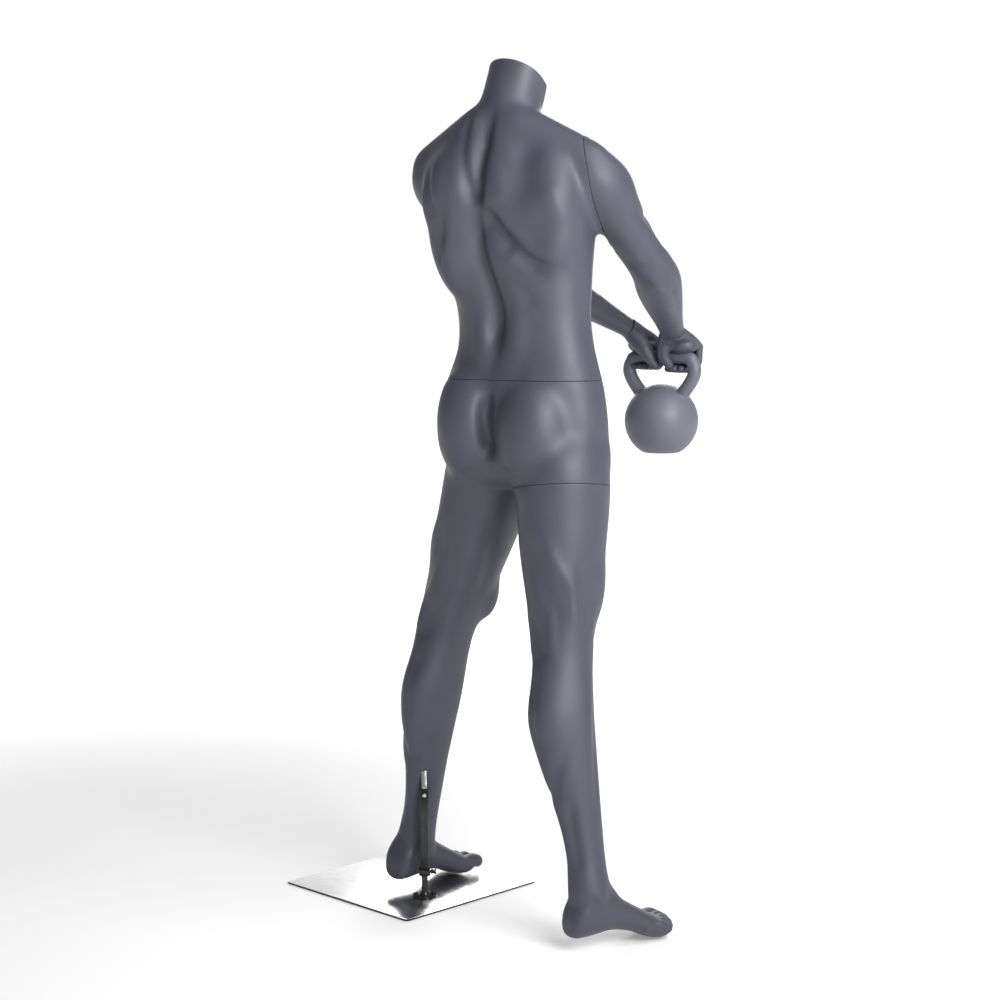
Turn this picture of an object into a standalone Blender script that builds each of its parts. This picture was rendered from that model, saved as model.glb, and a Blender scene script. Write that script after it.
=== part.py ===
"""Headless sports display mannequin in a wide stance, holding a kettlebell in both hands.

Frame: origin under the centre of the base plate, +Z up, the figure faces -Y and its right side is -X.
The figure is a hollow glass-fibre shell in five sections, each closed by a bulkhead with a steel fitting.
"""

import math

import bmesh
import bpy
import numpy as np
from mathutils import Matrix, Vector

# Base and calf rod
PLATE_SIDE, PLATE_THICK, PLATE_CORNER = 0.360, 0.004, 0.008
ROD_X, ROD_Y = -0.094, 0.051
FLANGE_RADIUS, FLANGE_THICK = 0.024, 0.004
POST_RADIUS, POST_TOP = 0.0062, 0.150
ROD_SIDE, ROD_BORE, ROD_FOOT, ROD_TOP = 0.016, 0.0134, 0.046, 0.222
TONGUE_WIDTH, TONGUE_THICK = 0.010, 0.004
TONGUE_FOOT, TONGUE_LEAN, TONGUE_LENGTH = 0.190, (0.27, -0.20, 1.0), 0.128

# Figure
VOXEL = 0.0055
WALL = 0.0045
SEAM = 0.00030                   # each side draws back this far from a seam
GAP = 0.00040
NECK_CUT, NECK_TILT = (-0.266, -0.033, 1.602), 31.0
WAIST = (-0.284, -0.036, 1.035)
HIP_R, KNEE_R, ANKLE_R = (-0.378, -0.032, 0.915), (-0.428, 0.008, 0.548), (-0.530, 0.049, 0.110)
HIP_L, KNEE_L, ANKLE_L = (-0.212, -0.043, 0.915), (-0.098, -0.010, 0.548), (-0.040, 0.021, 0.110)
HEEL_R, HEEL_L = (-0.519, 0.098), (-0.036, 0.084)
SHOULDER_R, ELBOW_R, WRIST_R = (-0.418, -0.078, 1.410), (-0.418, -0.256, 1.238), (-0.316, -0.435, 1.119)
SHOULDER_L, ELBOW_L, WRIST_L = (-0.090, 0.004, 1.412), (-0.118, -0.200, 1.252), (-0.215, -0.414, 1.126)
CHEST_TURN = 22.0

# Kettlebell; the bar lies along BAR_TURN degrees off the X axis
BELL = Vector((-0.260, -0.470, 0.9345))
BELL_RADIUS, BELL_FLAT = 0.0760, 0.0665
BAR_RISE, BAR_RADIUS, BAR_TURN = 0.131, 0.0138, 8.0
BAR_PATH = ((0.036, 0.038), (0.051, 0.057), (0.069, 0.080), (0.0785, 0.101), (0.073, 0.120), (0.054, 0.1305))

# z, turn to the figure's left, centre x, centre y, half-sizes right, left, front, back, squareness
TRUNK = (
    (0.835, 7, -0.290, -0.038, 0.085, 0.085, 0.070, 0.070, 2.2),
    (0.870, 7, -0.290, -0.038, 0.138, 0.136, 0.095, 0.092, 2.2),
    (0.920, 7, -0.290, -0.039, 0.166, 0.164, 0.105, 0.098, 2.2),
    (0.970, 7, -0.288, -0.038, 0.168, 0.182, 0.105, 0.100, 2.2),
    (1.030, 8, -0.286, -0.037, 0.160, 0.171, 0.100, 0.094, 2.2),
    (1.090, 10, -0.282, -0.033, 0.146, 0.138, 0.098, 0.081, 2.2),
    (1.150, 13, -0.279, -0.029, 0.140, 0.127, 0.100, 0.079, 2.2),
    (1.210, 16, -0.276, -0.025, 0.145, 0.133, 0.106, 0.086, 2.2),
    (1.270, 19, -0.272, -0.021, 0.153, 0.148, 0.114, 0.094, 2.2),
    (1.330, 22, -0.268, -0.018, 0.160, 0.164, 0.120, 0.100, 2.3),
    (1.390, 22, -0.264, -0.013, 0.162, 0.171, 0.116, 0.102, 2.3),
    (1.435, 22, -0.259, -0.008, 0.142, 0.158, 0.095, 0.094, 2.2),
    (1.475, 21, -0.257, -0.007, 0.105, 0.122, 0.070, 0.080, 2.0),
    (1.510, 18, -0.258, -0.010, 0.068, 0.082, 0.060, 0.068, 2.0),
    (1.545, 14, -0.262, -0.018, 0.058, 0.061, 0.060, 0.060, 2.0),
    (1.590, 8, -0.266, -0.030, 0.058, 0.058, 0.062, 0.058, 2.0),
    (1.660, 3, -0.271, -0.050, 0.059, 0.059, 0.064, 0.058, 2.0),
)


WORLD_AXES = Vector((1, 0, 0)), Vector((0, 1, 0)), Vector((0, 0, 1))


def clear_scene():
    for obj in list(bpy.data.objects):
        bpy.data.objects.remove(obj)


def paint(name, rgb, rough, metal=0.0):
    mat = bpy.data.materials.get(name) or bpy.data.materials.new(name)
    mat.use_nodes = True
    shader = mat.node_tree.nodes["Principled BSDF"]
    shader.inputs["Base Color"].default_value = (*rgb, 1)
    shader.inputs["Roughness"].default_value = rough
    shader.inputs["Metallic"].default_value = metal
    return mat


PAINT = dict(
    shell=("slate_satin_paint", (0.105, 0.108, 0.135), 0.45, 0.0),
    kettle=("slate_kettlebell_paint", (0.115, 0.118, 0.138), 0.42, 0.0),
    board=("bulkhead_plywood", (0.42, 0.30, 0.18), 0.70, 0.0),
    black=("black_gloss_steel", (0.010, 0.010, 0.011), 0.16, 0.4),
    zinc=("zinc_plated_steel", (0.62, 0.62, 0.60), 0.32, 1.0),
    steel=("bare_steel", (0.70, 0.70, 0.70), 0.25, 1.0),
    plate=("polished_steel", (0.80, 0.80, 0.80), 0.16, 1.0),
    magnet=("nickel_magnet", (0.55, 0.53, 0.50), 0.22, 1.0),
)


def node(name, bm, slot):
    """The bmesh as a named object; welded, its normals facing out."""
    bmesh.ops.remove_doubles(bm, verts=bm.verts, dist=1e-6)
    bmesh.ops.recalc_face_normals(bm, faces=bm.faces)
    if bm.calc_volume(signed=True) < 0:
        bmesh.ops.reverse_faces(bm, faces=bm.faces)
    mesh = bpy.data.meshes.new(name)
    bm.to_mesh(mesh)
    bm.free()
    obj = bpy.data.objects.new(name, mesh)
    bpy.context.scene.collection.objects.link(obj)
    if slot:
        mesh.materials.append(paint(*PAINT[slot]))
    return obj


def helper(name, bm):
    obj = node(name, bm, None)
    obj.hide_render = True
    obj.display_type = "WIRE"
    return obj


def baked(obj):
    """bmesh of the object with its modifiers worked out."""
    bpy.context.view_layer.update()
    graph = bpy.context.evaluated_depsgraph_get()
    bm = bmesh.new()
    bm.from_object(obj, graph)
    return bm


def cut(obj, *cutters, how="DIFFERENCE"):
    """Apply Booleans now, so that helpers can go."""
    for cutter in cutters:
        mod = obj.modifiers.new("cut", "BOOLEAN")
        mod.operation, mod.solver, mod.object = how, "EXACT", cutter
    bm = baked(obj)
    obj.modifiers.clear()
    bm.to_mesh(obj.data)
    bm.free()
    return obj


# ---- sections and lofts -------------------------------------------------------------------------

def heading(turn):
    a = math.radians(turn)
    return Vector((-math.cos(a), -math.sin(a), 0)), Vector((math.sin(a), -math.cos(a), 0))


def through(values, steps):
    """Catmull-Rom spline through rows of numbers."""
    rows = [np.array(v, float) for v in values]
    rows = [2 * rows[0] - rows[1]] + rows + [2 * rows[-1] - rows[-2]]
    out = []
    for i in range(1, len(rows) - 2):
        p0, p1, p2, p3 = rows[i - 1:i + 3]
        for k in range(steps):
            t = k / steps
            out.append(0.5 * (2 * p1 + (p2 - p0) * t + (2 * p0 - 5 * p1 + 4 * p2 - p3) * t ** 2
                              + (3 * p1 - p0 - 3 * p2 + p3) * t ** 3))
    out.append(rows[-2])
    return out


def ring(centre, right, front, sizes, sides=28, power=2.0):
    """Rounded section; sizes run right, left, front, back."""
    pts = []
    for k in range(sides):
        a = 2 * math.pi * k / sides
        c, s = math.cos(a), math.sin(a)
        w = sizes[0] if c > 0 else sizes[1]
        d = sizes[2] if s > 0 else sizes[3]
        c = math.copysign(abs(c) ** (2 / power), c)
        s = math.copysign(abs(s) ** (2 / power), s)
        pts.append(centre + right * (c * w) + front * (s * d))
    return pts


def skin(bm, rings):
    loops = [[bm.verts.new(p) for p in r] for r in rings]
    n = len(loops[0])
    faces = []
    for a, b in zip(loops, loops[1:]):
        faces += [bm.faces.new((a[k], a[(k + 1) % n], b[(k + 1) % n], b[k])) for k in range(n)]
    faces += [bm.faces.new(loops[0][::-1]), bm.faces.new(loops[-1])]
    bmesh.ops.recalc_face_normals(bm, faces=faces)


def trunk(bm, stations, steps=3):
    rings = []
    for z, turn, x, y, r, l, f, b, power in through(stations, steps):
        right, front = heading(turn)
        rings.append(ring(Vector((x, y, z)), right, front, (r, l, f, b), 32, power))
    skin(bm, rings)


def limb(bm, stations, front, steps=4, sides=24):
    """Stations x, y, z, right, left, front, back; each ring is square to the path."""
    rows = through(stations, steps)
    pts = [Vector(r[:3]) for r in rows]
    rings = []
    for i, (p, row) in enumerate(zip(pts, rows)):
        t = (pts[min(i + 1, len(pts) - 1)] - pts[max(i - 1, 0)]).normalized()
        f = (Vector(front) - t * Vector(front).dot(t)).normalized()
        rings.append(ring(p, t.cross(f), f, row[3:7], sides))
    skin(bm, rings)


def between(a, b, t):
    return tuple(Vector(a).lerp(Vector(b), t))


def mass(bm, centre, radii, along=(0, 0, 1), front=(0, -1, 0)):
    """Ellipsoid; radii run across, deep, along."""
    z = Vector(along).normalized()
    f = (Vector(front) - z * Vector(front).dot(z)).normalized()
    m = Matrix((z.cross(f) * radii[0], f * radii[1], z * radii[2])).transposed().to_4x4()
    m.translation = Vector(centre)
    bmesh.ops.create_uvsphere(bm, u_segments=24, v_segments=16, radius=1, matrix=m)


def bar(bm, a, b, ra, rb=None, sides=16):
    """Round-ended taper from a to b."""
    rb = ra if rb is None else rb
    a, b = Vector(a), Vector(b)
    d = (b - a).normalized()
    ref = Vector((0, 0, 1)) if abs(d.z) < 0.9 else Vector((0, -1, 0))
    f = (ref - d * ref.dot(d)).normalized()
    r = f.cross(d)
    rings = []
    for k in range(1, 5):
        t = math.pi / 2 * k / 4
        rings.append(ring(a - d * ra * math.cos(t), r, f, (ra * math.sin(t),) * 4, sides))
    for k in range(4, 0, -1):
        t = math.pi / 2 * k / 4
        rings.append(ring(b + d * rb * math.cos(t), r, f, (rb * math.sin(t),) * 4, sides))
    skin(bm, rings)


# ---- the figure ---------------------------------------------------------------------------------

def torso_point(u, v, z, turn=None):
    """u to the figure's right, v to its front, from the trunk's centre at height z."""
    rows = np.array([r[:4] for r in TRUNK])
    t, x, y = (np.interp(z, rows[:, 0], rows[:, k]) for k in (1, 2, 3))
    right, front = heading(t if turn is None else turn)
    return Vector((x, y, z)) + right * u + front * v


def add_trunk(bm):
    trunk(bm, TRUNK)
    for side in (1, -1):
        shoulder = Vector(SHOULDER_R if side > 0 else SHOULDER_L)
        right, front = heading(CHEST_TURN)
        # seat, chest, shoulder blade, side of the back, the long muscles by the spine
        if side > 0:
            mass(bm, torso_point(0.076, -0.052, 0.915), (0.088, 0.070, 0.100), (0.0, 0.1, 1))
        else:
            mass(bm, torso_point(-0.083, -0.048, 0.956), (0.080, 0.080, 0.112), (0.0, 0.1, 1))
        mass(bm, torso_point(0.122 * side, -0.008, 0.915), (0.050, 0.060, 0.056), (0, 0, 1))
        mass(bm, torso_point(0.074 * side, 0.082, 1.360), (0.066, 0.044, 0.082), right, front)
        mass(bm, torso_point(0.084 * side, -0.058, 1.375), (0.072, 0.042, 0.090), (0.1 * side, 0, 1), -front)
        mass(bm, torso_point(0.104 * side, -0.028, 1.300), (0.052, 0.062, 0.120), (-0.2 * side, 0, 1),
             -front)
        mass(bm, torso_point(0.034 * side, -0.050, 1.110), (0.032, 0.036, 0.160), (0, 0, 1))
        # from the neck out to the shoulder
        top = shoulder + Vector((0, 0.012, 0.026))
        bar(bm, torso_point(0.030 * side, -0.022, 1.500), top, 0.050, 0.042)
        bar(bm, torso_point(0.050 * side, 0.025, 1.445), shoulder + Vector((0, -0.010, 0.004)), 0.045, 0.048)
    bar(bm, torso_point(0, -0.036, 1.46), torso_point(0, -0.026, 1.58), 0.045, 0.034)


def add_leg(bm, hip, knee, ankle, toe_out, side):
    """side is 1 for the right leg, whose outer half-size comes first."""
    front = (math.sin(math.radians(toe_out)) * -side, -1, 0)

    def row(p, outer, inner, f, b):
        return (*p, outer, inner, f, b) if side > 0 else (*p, inner, outer, f, b)

    top = Vector(hip) + Vector((0.012 * side, 0, 0.010))
    limb(bm, (
        row(top, 0.075, 0.070, 0.070, 0.070),
        row(between(hip, knee, 0.14), 0.089, 0.092, 0.094, 0.088),
        row(between(hip, knee, 0.35), 0.082, 0.086, 0.095, 0.083),
        row(between(hip, knee, 0.58), 0.072, 0.077, 0.085, 0.075),
        row(between(hip, knee, 0.80), 0.061, 0.066, 0.070, 0.066),
        row(knee, 0.058, 0.058, 0.058, 0.062),
        row(between(knee, ankle, 0.13), 0.054, 0.055, 0.046, 0.074),
        row(between(knee, ankle, 0.30), 0.056, 0.057, 0.038, 0.093),
        row(between(knee, ankle, 0.48), 0.050, 0.050, 0.036, 0.077),
        row(between(knee, ankle, 0.70), 0.040, 0.041, 0.037, 0.052),
        row(between(knee, ankle, 0.88), 0.035, 0.036, 0.038, 0.041),
        row(ankle, 0.036, 0.036, 0.040, 0.042),
        row(Vector(ankle) - Vector((0, 0, 0.045)), 0.031, 0.031, 0.040, 0.038),
    ), front)
    # kneecap, the thigh above the knee on both sides, ankle bones
    fwd = Vector(front).normalized()
    out = Vector((-side, 0, 0))
    mass(bm, Vector(knee) + fwd * 0.034 + Vector((0, 0, 0.012)), (0.034, 0.027, 0.042))
    mass(bm, Vector(between(hip, knee, 0.80)) - out * 0.030 + fwd * 0.042, (0.036, 0.036, 0.070))
    mass(bm, Vector(between(hip, knee, 0.66)) + out * 0.020 + fwd * 0.034, (0.040, 0.040, 0.110))
    for way, lift in ((1, 0.0), (-1, 0.012)):
        mass(bm, Vector(ankle) + out * way * 0.028 + Vector((0, 0.004, lift - 0.006)), (0.013, 0.017, 0.019))


def add_foot(bm, heel, toe_out, lift, side):
    """heel is the back of the heel on the floor; the sole rises to a shoe-ready heel."""
    a = math.radians(toe_out)
    ahead = Vector((-math.sin(a) * side, -math.cos(a), 0))
    out = Vector((-math.cos(a) * side, math.sin(a), 0))
    heel = Vector((*heel, lift))
    profile = (  # distance from the heel, underside, top, half-width, sideways shift outwards
        (0.003, 0.045, 0.075, 0.014, 0.000),
        (0.016, 0.028, 0.098, 0.028, 0.000),
        (0.046, 0.024, 0.120, 0.035, 0.000),
        (0.088, 0.028, 0.104, 0.036, 0.001),
        (0.130, 0.020, 0.080, 0.040, 0.002),
        (0.162, 0.006, 0.063, 0.045, 0.002),
        (0.188, -0.001, 0.050, 0.047, 0.002),
        (0.208, 0.001, 0.041, 0.045, 0.002),
        (0.222, 0.009, 0.035, 0.037, 0.000),
    )
    rings = []
    for s, low, high, half, shift in through(profile, 3):
        mid = heel + ahead * s + out * shift + Vector((0, 0, (low + high) / 2))
        tall = (high - low) / 2
        rings.append(ring(mid, out, Vector((0, 0, 1)), (half, half, tall, tall), 24, 2.4))
    skin(bm, rings)
    # toes: the big one is on the inside
    toes = ((-0.029, 0.241, 0.0140), (-0.006, 0.243, 0.0104), (0.012, 0.236, 0.0098),
            (0.027, 0.226, 0.0092), (0.040, 0.214, 0.0086))
    for across, reach, radius in toes:
        root = heel + ahead * (reach - 0.050) + out * across * 0.92 + Vector((0, 0, 0.028))
        knuckle = heel + ahead * (reach - 0.024) + out * across + Vector((0, 0, 0.027))
        tip = heel + ahead * (reach - radius) + out * across + Vector((0, 0, 0.018 + radius * 0.2))
        bar(bm, root, knuckle, radius * 0.95, radius)
        bar(bm, knuckle, tip, radius * 0.98, radius)


def add_arm(bm, shoulder, elbow, wrist, back):
    """back points out of the elbow."""
    s, e, w = Vector(shoulder), Vector(elbow), Vector(wrist)
    front = -Vector(back)
    limb(bm, (
        (*(s + (e - s) * -0.02), 0.050, 0.050, 0.052, 0.052),
        (*between(s, e, 0.22), 0.055, 0.055, 0.056, 0.056),
        (*between(s, e, 0.48), 0.047, 0.047, 0.052, 0.052),
        (*between(s, e, 0.75), 0.043, 0.043, 0.047, 0.047),
        (*between(s, e, 0.97), 0.044, 0.044, 0.040, 0.042),
        (*between(e, w, 0.22), 0.047, 0.047, 0.042, 0.042),
        (*between(e, w, 0.48), 0.041, 0.041, 0.037, 0.037),
        (*between(e, w, 0.78), 0.032, 0.032, 0.027, 0.027),
        (*w, 0.0285, 0.0285, 0.0215, 0.0215),
        (*between(e, w, 1.10), 0.0285, 0.0285, 0.021, 0.021),
    ), front, steps=3)
    mass(bm, s + (e - s) * 0.12, (0.062, 0.060, 0.088), e - s, front)
    mass(bm, s + (e - s) * 0.45 + front * 0.016, (0.038, 0.038, 0.078), e - s, front)
    mass(bm, s + (e - s) * 0.48 - front * 0.018, (0.040, 0.038, 0.090), e - s, front)


def figure_forms():
    """Every form of the figure, still overlapping."""
    bm = bmesh.new()
    add_trunk(bm)
    add_leg(bm, HIP_R, KNEE_R, ANKLE_R, 12, 1)
    add_leg(bm, HIP_L, KNEE_L, ANKLE_L, 5, -1)
    add_foot(bm, HEEL_R, 12.5, 0.0014, 1)
    add_foot(bm, HEEL_L, 5, 0.0058, -1)
    add_arm(bm, SHOULDER_R, ELBOW_R, WRIST_R, (-0.55, 0.55, -0.4))
    add_arm(bm, SHOULDER_L, ELBOW_L, WRIST_L, (0.55, 0.35, -0.6))
    return bm


def melted(name, bm, voxel):
    """Overlapping forms made one skin of small squares."""
    obj = helper(name, bm)
    remesh = obj.modifiers.new("melt", "REMESH")
    remesh.mode, remesh.voxel_size = "VOXEL", voxel
    bm = baked(obj)
    bpy.data.objects.remove(obj)
    return bm


def soften(bm, rounds, weight):
    """Pull each point towards its neighbours' mean; weight runs 0 to 1 by point."""
    bm.verts.index_update()
    points = np.array([v.co for v in bm.verts])
    ends = np.array([(e.verts[0].index, e.verts[1].index) for e in bm.edges])
    count = np.bincount(ends.ravel(), minlength=len(points))[:, None]
    w = 0.5 * weight(points)[:, None]
    for _ in range(rounds):
        total = np.zeros_like(points)
        for k in range(3):
            total[:, k] = (np.bincount(ends[:, 0], points[ends[:, 1], k], len(points))
                           + np.bincount(ends[:, 1], points[ends[:, 0], k], len(points)))
        points += w * (total / count - points)
    for v, p in zip(bm.verts, points):
        v.co = p


def shrink(bm, depth):
    bm.normal_update()
    for v, n in [(v, v.normal.copy()) for v in bm.verts]:
        v.co -= n * depth


def thinned(name, bm, faces):
    """The skin as an object of about this many triangles."""
    bmesh.ops.triangulate(bm, faces=bm.faces)
    count = len(bm.faces)
    obj = helper(name, bm)
    thin = obj.modifiers.new("thin", "DECIMATE")
    thin.ratio = min(1.0, faces / count)
    bm = baked(obj)
    obj.modifiers.clear()
    bm.to_mesh(obj.data)
    bm.free()
    return obj


def body_weight(points):
    """Feet keep their toes; the rest melts together."""
    return np.clip((points[:, 2] - 0.075) / 0.06, 0.10, 1.0)


def slab(name, centre, normal, low, high, radius, sides=48):
    """Disc from low to high along the normal."""
    n = Vector(normal).normalized()
    bm = bmesh.new()
    spin = Vector((0, 0, 1)).rotation_difference(n).to_matrix().to_4x4()
    spin.translation = Vector(centre) + n * (low + high) / 2
    bmesh.ops.create_cone(bm, cap_ends=True, segments=sides, radius1=radius, radius2=radius,
                          depth=high - low, matrix=spin)
    return helper(name, bm)


def lathe(name, centre, normal, profile, slot, sides=32):
    """Closed profile of (radius, height) points turned about the normal through the centre."""
    n = Vector(normal).normalized()
    spin = Vector((0, 0, 1)).rotation_difference(n).to_matrix()
    bm = bmesh.new()
    loops = []
    for radius, height in profile:
        if radius == 0:
            loops.append([bm.verts.new(Vector(centre) + spin @ Vector((0, 0, height)))] * sides)
            continue
        loops.append([bm.verts.new(Vector(centre) + spin @ Vector((
            radius * math.cos(2 * math.pi * k / sides), radius * math.sin(2 * math.pi * k / sides), height)))
            for k in range(sides)])
    hollow = profile[0][0] > 0
    pairs = list(zip(loops, loops[1:])) + ([(loops[-1], loops[0])] if hollow else [])
    for a, b in pairs:
        for k in range(sides):
            j = (k + 1) % sides
            face = list(dict.fromkeys((a[k], a[j], b[j], b[k])))
            if len(face) > 2:
                bm.faces.new(face)
    return node(name, bm, slot)


def block(name, centre, axes, sizes, slot=None):
    """Box about a centre; axes are three unit vectors."""
    bm = bmesh.new()
    m = Matrix([a * s for a, s in zip(axes, sizes)]).transposed().to_4x4()
    m.translation = Vector(centre)
    bmesh.ops.create_cube(bm, size=1, matrix=m)
    return node(name, bm, slot) if slot else helper(name, bm)


# ---- seams: centre, direction away from the trunk, radius that catches only this seam -----------

def tilted(turn, rise, side):
    a, b = math.radians(turn), math.radians(rise)
    return Vector((-math.cos(a) * math.cos(b) * side, -math.sin(a) * math.cos(b) * side, math.sin(b)))


SEAMS = dict(
    waist=(Vector(WAIST), Vector((0, 0, 1)), 0.240),
    thigh=(Vector((-0.398, -0.016, 0.838)), (Vector(KNEE_R) - Vector(HIP_R)).normalized(), 0.122),
    shoulder_r=(Vector(SHOULDER_R) + Vector((0, 0, -0.006)), tilted(32, 10, 1), 0.150),
    shoulder_l=(Vector((-0.094, -0.052, 1.374)), tilted(-40, -10, -1), 0.145),
    wrist_r=(Vector(WRIST_R), (Vector(WRIST_R) - Vector(ELBOW_R)).normalized(), 0.060),
    wrist_l=(Vector(WRIST_L), (Vector(WRIST_L) - Vector(ELBOW_L)).normalized(), 0.060),
)


def near_loop(bm, centre, normal):
    """Cut only the strip of faces that goes round the seam's centre; returns the cut edges."""
    above = {v: (v.co - centre).dot(normal) > 0 for v in bm.verts}
    crossing = {e for e in bm.edges if above[e.verts[0]] != above[e.verts[1]]}
    strips = []
    while crossing:
        pile, strip = [crossing.pop()], set()
        while pile:
            for face in pile.pop().link_faces:
                strip.add(face)
                more = set(face.edges) & crossing
                crossing -= more
                pile += more
        middle = sum((f.calc_center_median() for f in strip), Vector()) / len(strip)
        strips.append(((middle - centre).length, len(strips), strip))
    strip = min(strips)[2]
    geom = list({g for f in strip for g in (*f.verts, *f.edges)}) + list(strip)
    out = bmesh.ops.bisect_plane(bm, geom=geom, dist=1e-6, plane_co=centre, plane_no=normal)
    return [g for g in out["geom_cut"] if isinstance(g, bmesh.types.BMEdge)]


def islands(bm):
    seen, found = set(), []
    for start in bm.verts:
        if start in seen:
            continue
        seen.add(start)
        pile, group = [start], []
        while pile:
            v = pile.pop()
            group.append(v)
            for e in v.link_edges:
                w = e.other_vert(v)
                if w not in seen:
                    seen.add(w)
                    pile.append(w)
        found.append(group)
    return found


def close_open_ends(bm):
    """Flat caps over open loops."""
    rim = [e for e in bm.edges if e.is_boundary]
    bmesh.ops.holes_fill(bm, edges=rim, sides=0)
    bmesh.ops.triangulate(bm, faces=[f for f in bm.faces if len(f.verts) > 3])
    bmesh.ops.recalc_face_normals(bm, faces=bm.faces)


def sections(body, wanted):
    """The skin cut at every seam into closed solids, by the seed point each one lies nearest."""
    bm = bmesh.new()
    bm.from_mesh(body.data)
    for centre, normal, radius in SEAMS.values():
        bmesh.ops.split_edges(bm, edges=near_loop(bm, centre, normal))
    groups = islands(bm)
    solids = {}
    for name, seed in wanted.items():
        group = min(groups, key=lambda g: min((v.co - Vector(seed)).length for v in g))
        middle = sum((v.co for v in group), Vector()) / len(group)
        part = bmesh.new()
        twin = {v: part.verts.new(v.co) for v in group}
        for f in {f for v in group for f in v.link_faces}:
            part.faces.new([twin[v] for v in f.verts])
        for e in [e for e in part.edges if e.is_boundary]:
            for v in e.verts:
                for centre, normal, radius in SEAMS.values():
                    d = (v.co - centre).dot(normal)
                    if (v.co - centre).length < radius and abs(d) < 2e-5:
                        away = 1 if inward(group, centre, normal, radius) > 0 else -1
                        v.co += normal * away * SEAM
        close_open_ends(part)
        solids[name] = helper(name + "_solid", part)
    bm.free()
    return solids


def inward(group, centre, normal, radius):
    """Which side of the seam the group lies on."""
    return sum((v.co - centre).dot(normal) for v in group if (v.co - centre).length < radius)


# ---- hands and kettlebell -----------------------------------------------------------------------

def bar_axes():
    a = math.radians(BAR_TURN)
    return Vector((-math.cos(a), -math.sin(a), 0)), Vector((math.sin(a), -math.cos(a), 0))


def grip_point(s, f, z):
    """From the middle of the bar: s to the figure's right along it, f forward, z up."""
    along, ahead = bar_axes()
    return BELL + Vector((0, 0, BAR_RISE)) + along * s + ahead * f + Vector((0, 0, z))


def handle(name, radius):
    """The kettlebell's handle as a bent tube of this radius."""
    along, _ = bar_axes()
    half = list(BAR_PATH)
    path = through(half + [(-s, z) for s, z in half[::-1]], 2)
    pts = [BELL + along * s + Vector((0, 0, z)) for s, z in path]
    bm = bmesh.new()
    side = along.cross(Vector((0, 0, 1)))
    rings = []
    for i, p in enumerate(pts):
        t = (pts[min(i + 1, len(pts) - 1)] - pts[max(i - 1, 0)]).normalized()
        rings.append(ring(p, t.cross(side), side, (radius,) * 4, 10))
    skin(bm, rings)
    return helper(name, bm)


def kettlebell():
    bm = bmesh.new()
    bmesh.ops.create_uvsphere(bm, u_segments=26, v_segments=14, radius=BELL_RADIUS,
                              matrix=Matrix.Translation(BELL))
    ball = node("kettlebell", bm, "kettle")
    low = BELL - Vector((0, 0, BELL_FLAT + 0.05))
    floor = block("kettle_floor", low, WORLD_AXES, (0.3, 0.3, 0.1))
    cut(ball, floor)
    return cut(ball, handle("handle_core", BAR_RADIUS), how="UNION")


def hand(side):
    """side is 1 for the right hand; its fingers curl over the bar from the front."""
    e, w = (Vector(ELBOW_R), Vector(WRIST_R)) if side > 0 else (Vector(ELBOW_L), Vector(WRIST_L))
    bm = bmesh.new()
    knuckles = grip_point(0.044 * side, 0.028, 0.032)
    limb(bm, (
        (*between(e, w, 0.90), 0.0270, 0.0270, 0.0205, 0.0205),
        (*w, 0.0270, 0.0270, 0.0200, 0.0200),
        (*w.lerp(knuckles, 0.28), 0.0300, 0.0300, 0.0175, 0.0175),
        (*w.lerp(knuckles, 0.60), 0.0350, 0.0350, 0.0145, 0.0145),
        (*w.lerp(knuckles, 0.98), 0.0350, 0.0350, 0.0110, 0.0110),
    ), (0, 0.2, -1), steps=4, sides=24)
    for k in range(4):
        at = (0.019 + 0.0168 * k) * side
        thick = (0.0090, 0.0096, 0.0094, 0.0084)[k]
        reach = (0.0, 0.003, 0.002, -0.003)[k]
        joints = (grip_point(at, 0.012, 0.033), grip_point(at, 0.037 + reach, 0.024),
                  grip_point(at, 0.0350 + reach, -0.009), grip_point(at * 0.97, 0.015, -0.0255),
                  grip_point(at * 0.95, -0.009, -0.0245))
        for a, b, ra, rb in zip(joints, joints[1:], (1.0, 1.05, 0.98, 0.93), (1.08, 1.0, 0.95, 0.86)):
            bar(bm, a, b, thick * ra, thick * rb)
    thumb = (grip_point(0.034 * side, -0.038, 0.040), grip_point(0.017 * side, -0.038, 0.014),
             grip_point(0.014 * side, -0.031, -0.012), grip_point(0.017 * side, -0.016, -0.029))
    for a, b, ra, rb in zip(thumb, thumb[1:], (0.0150, 0.0115, 0.0100), (0.0120, 0.0102, 0.0085)):
        bar(bm, a, b, ra, rb)
    bm = melted("hand_forms", bm, 0.0028)
    soften(bm, 3, lambda points: np.ones(len(points)))
    name = "hand_right" if side > 0 else "hand_left"
    obj = thinned(name, bm, 720)
    obj.hide_render, obj.display_type = False, "TEXTURED"
    obj.data.materials.append(paint(*PAINT["shell"]))
    centre, normal, _ = SEAMS["wrist_r" if side > 0 else "wrist_l"]
    cut(obj, slab("wrist_trim", centre, normal, -0.10, SEAM, 0.08))
    cut(obj, handle("handle_room", BAR_RADIUS + GAP))
    return obj


# ---- build --------------------------------------------------------------------------------------

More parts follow.
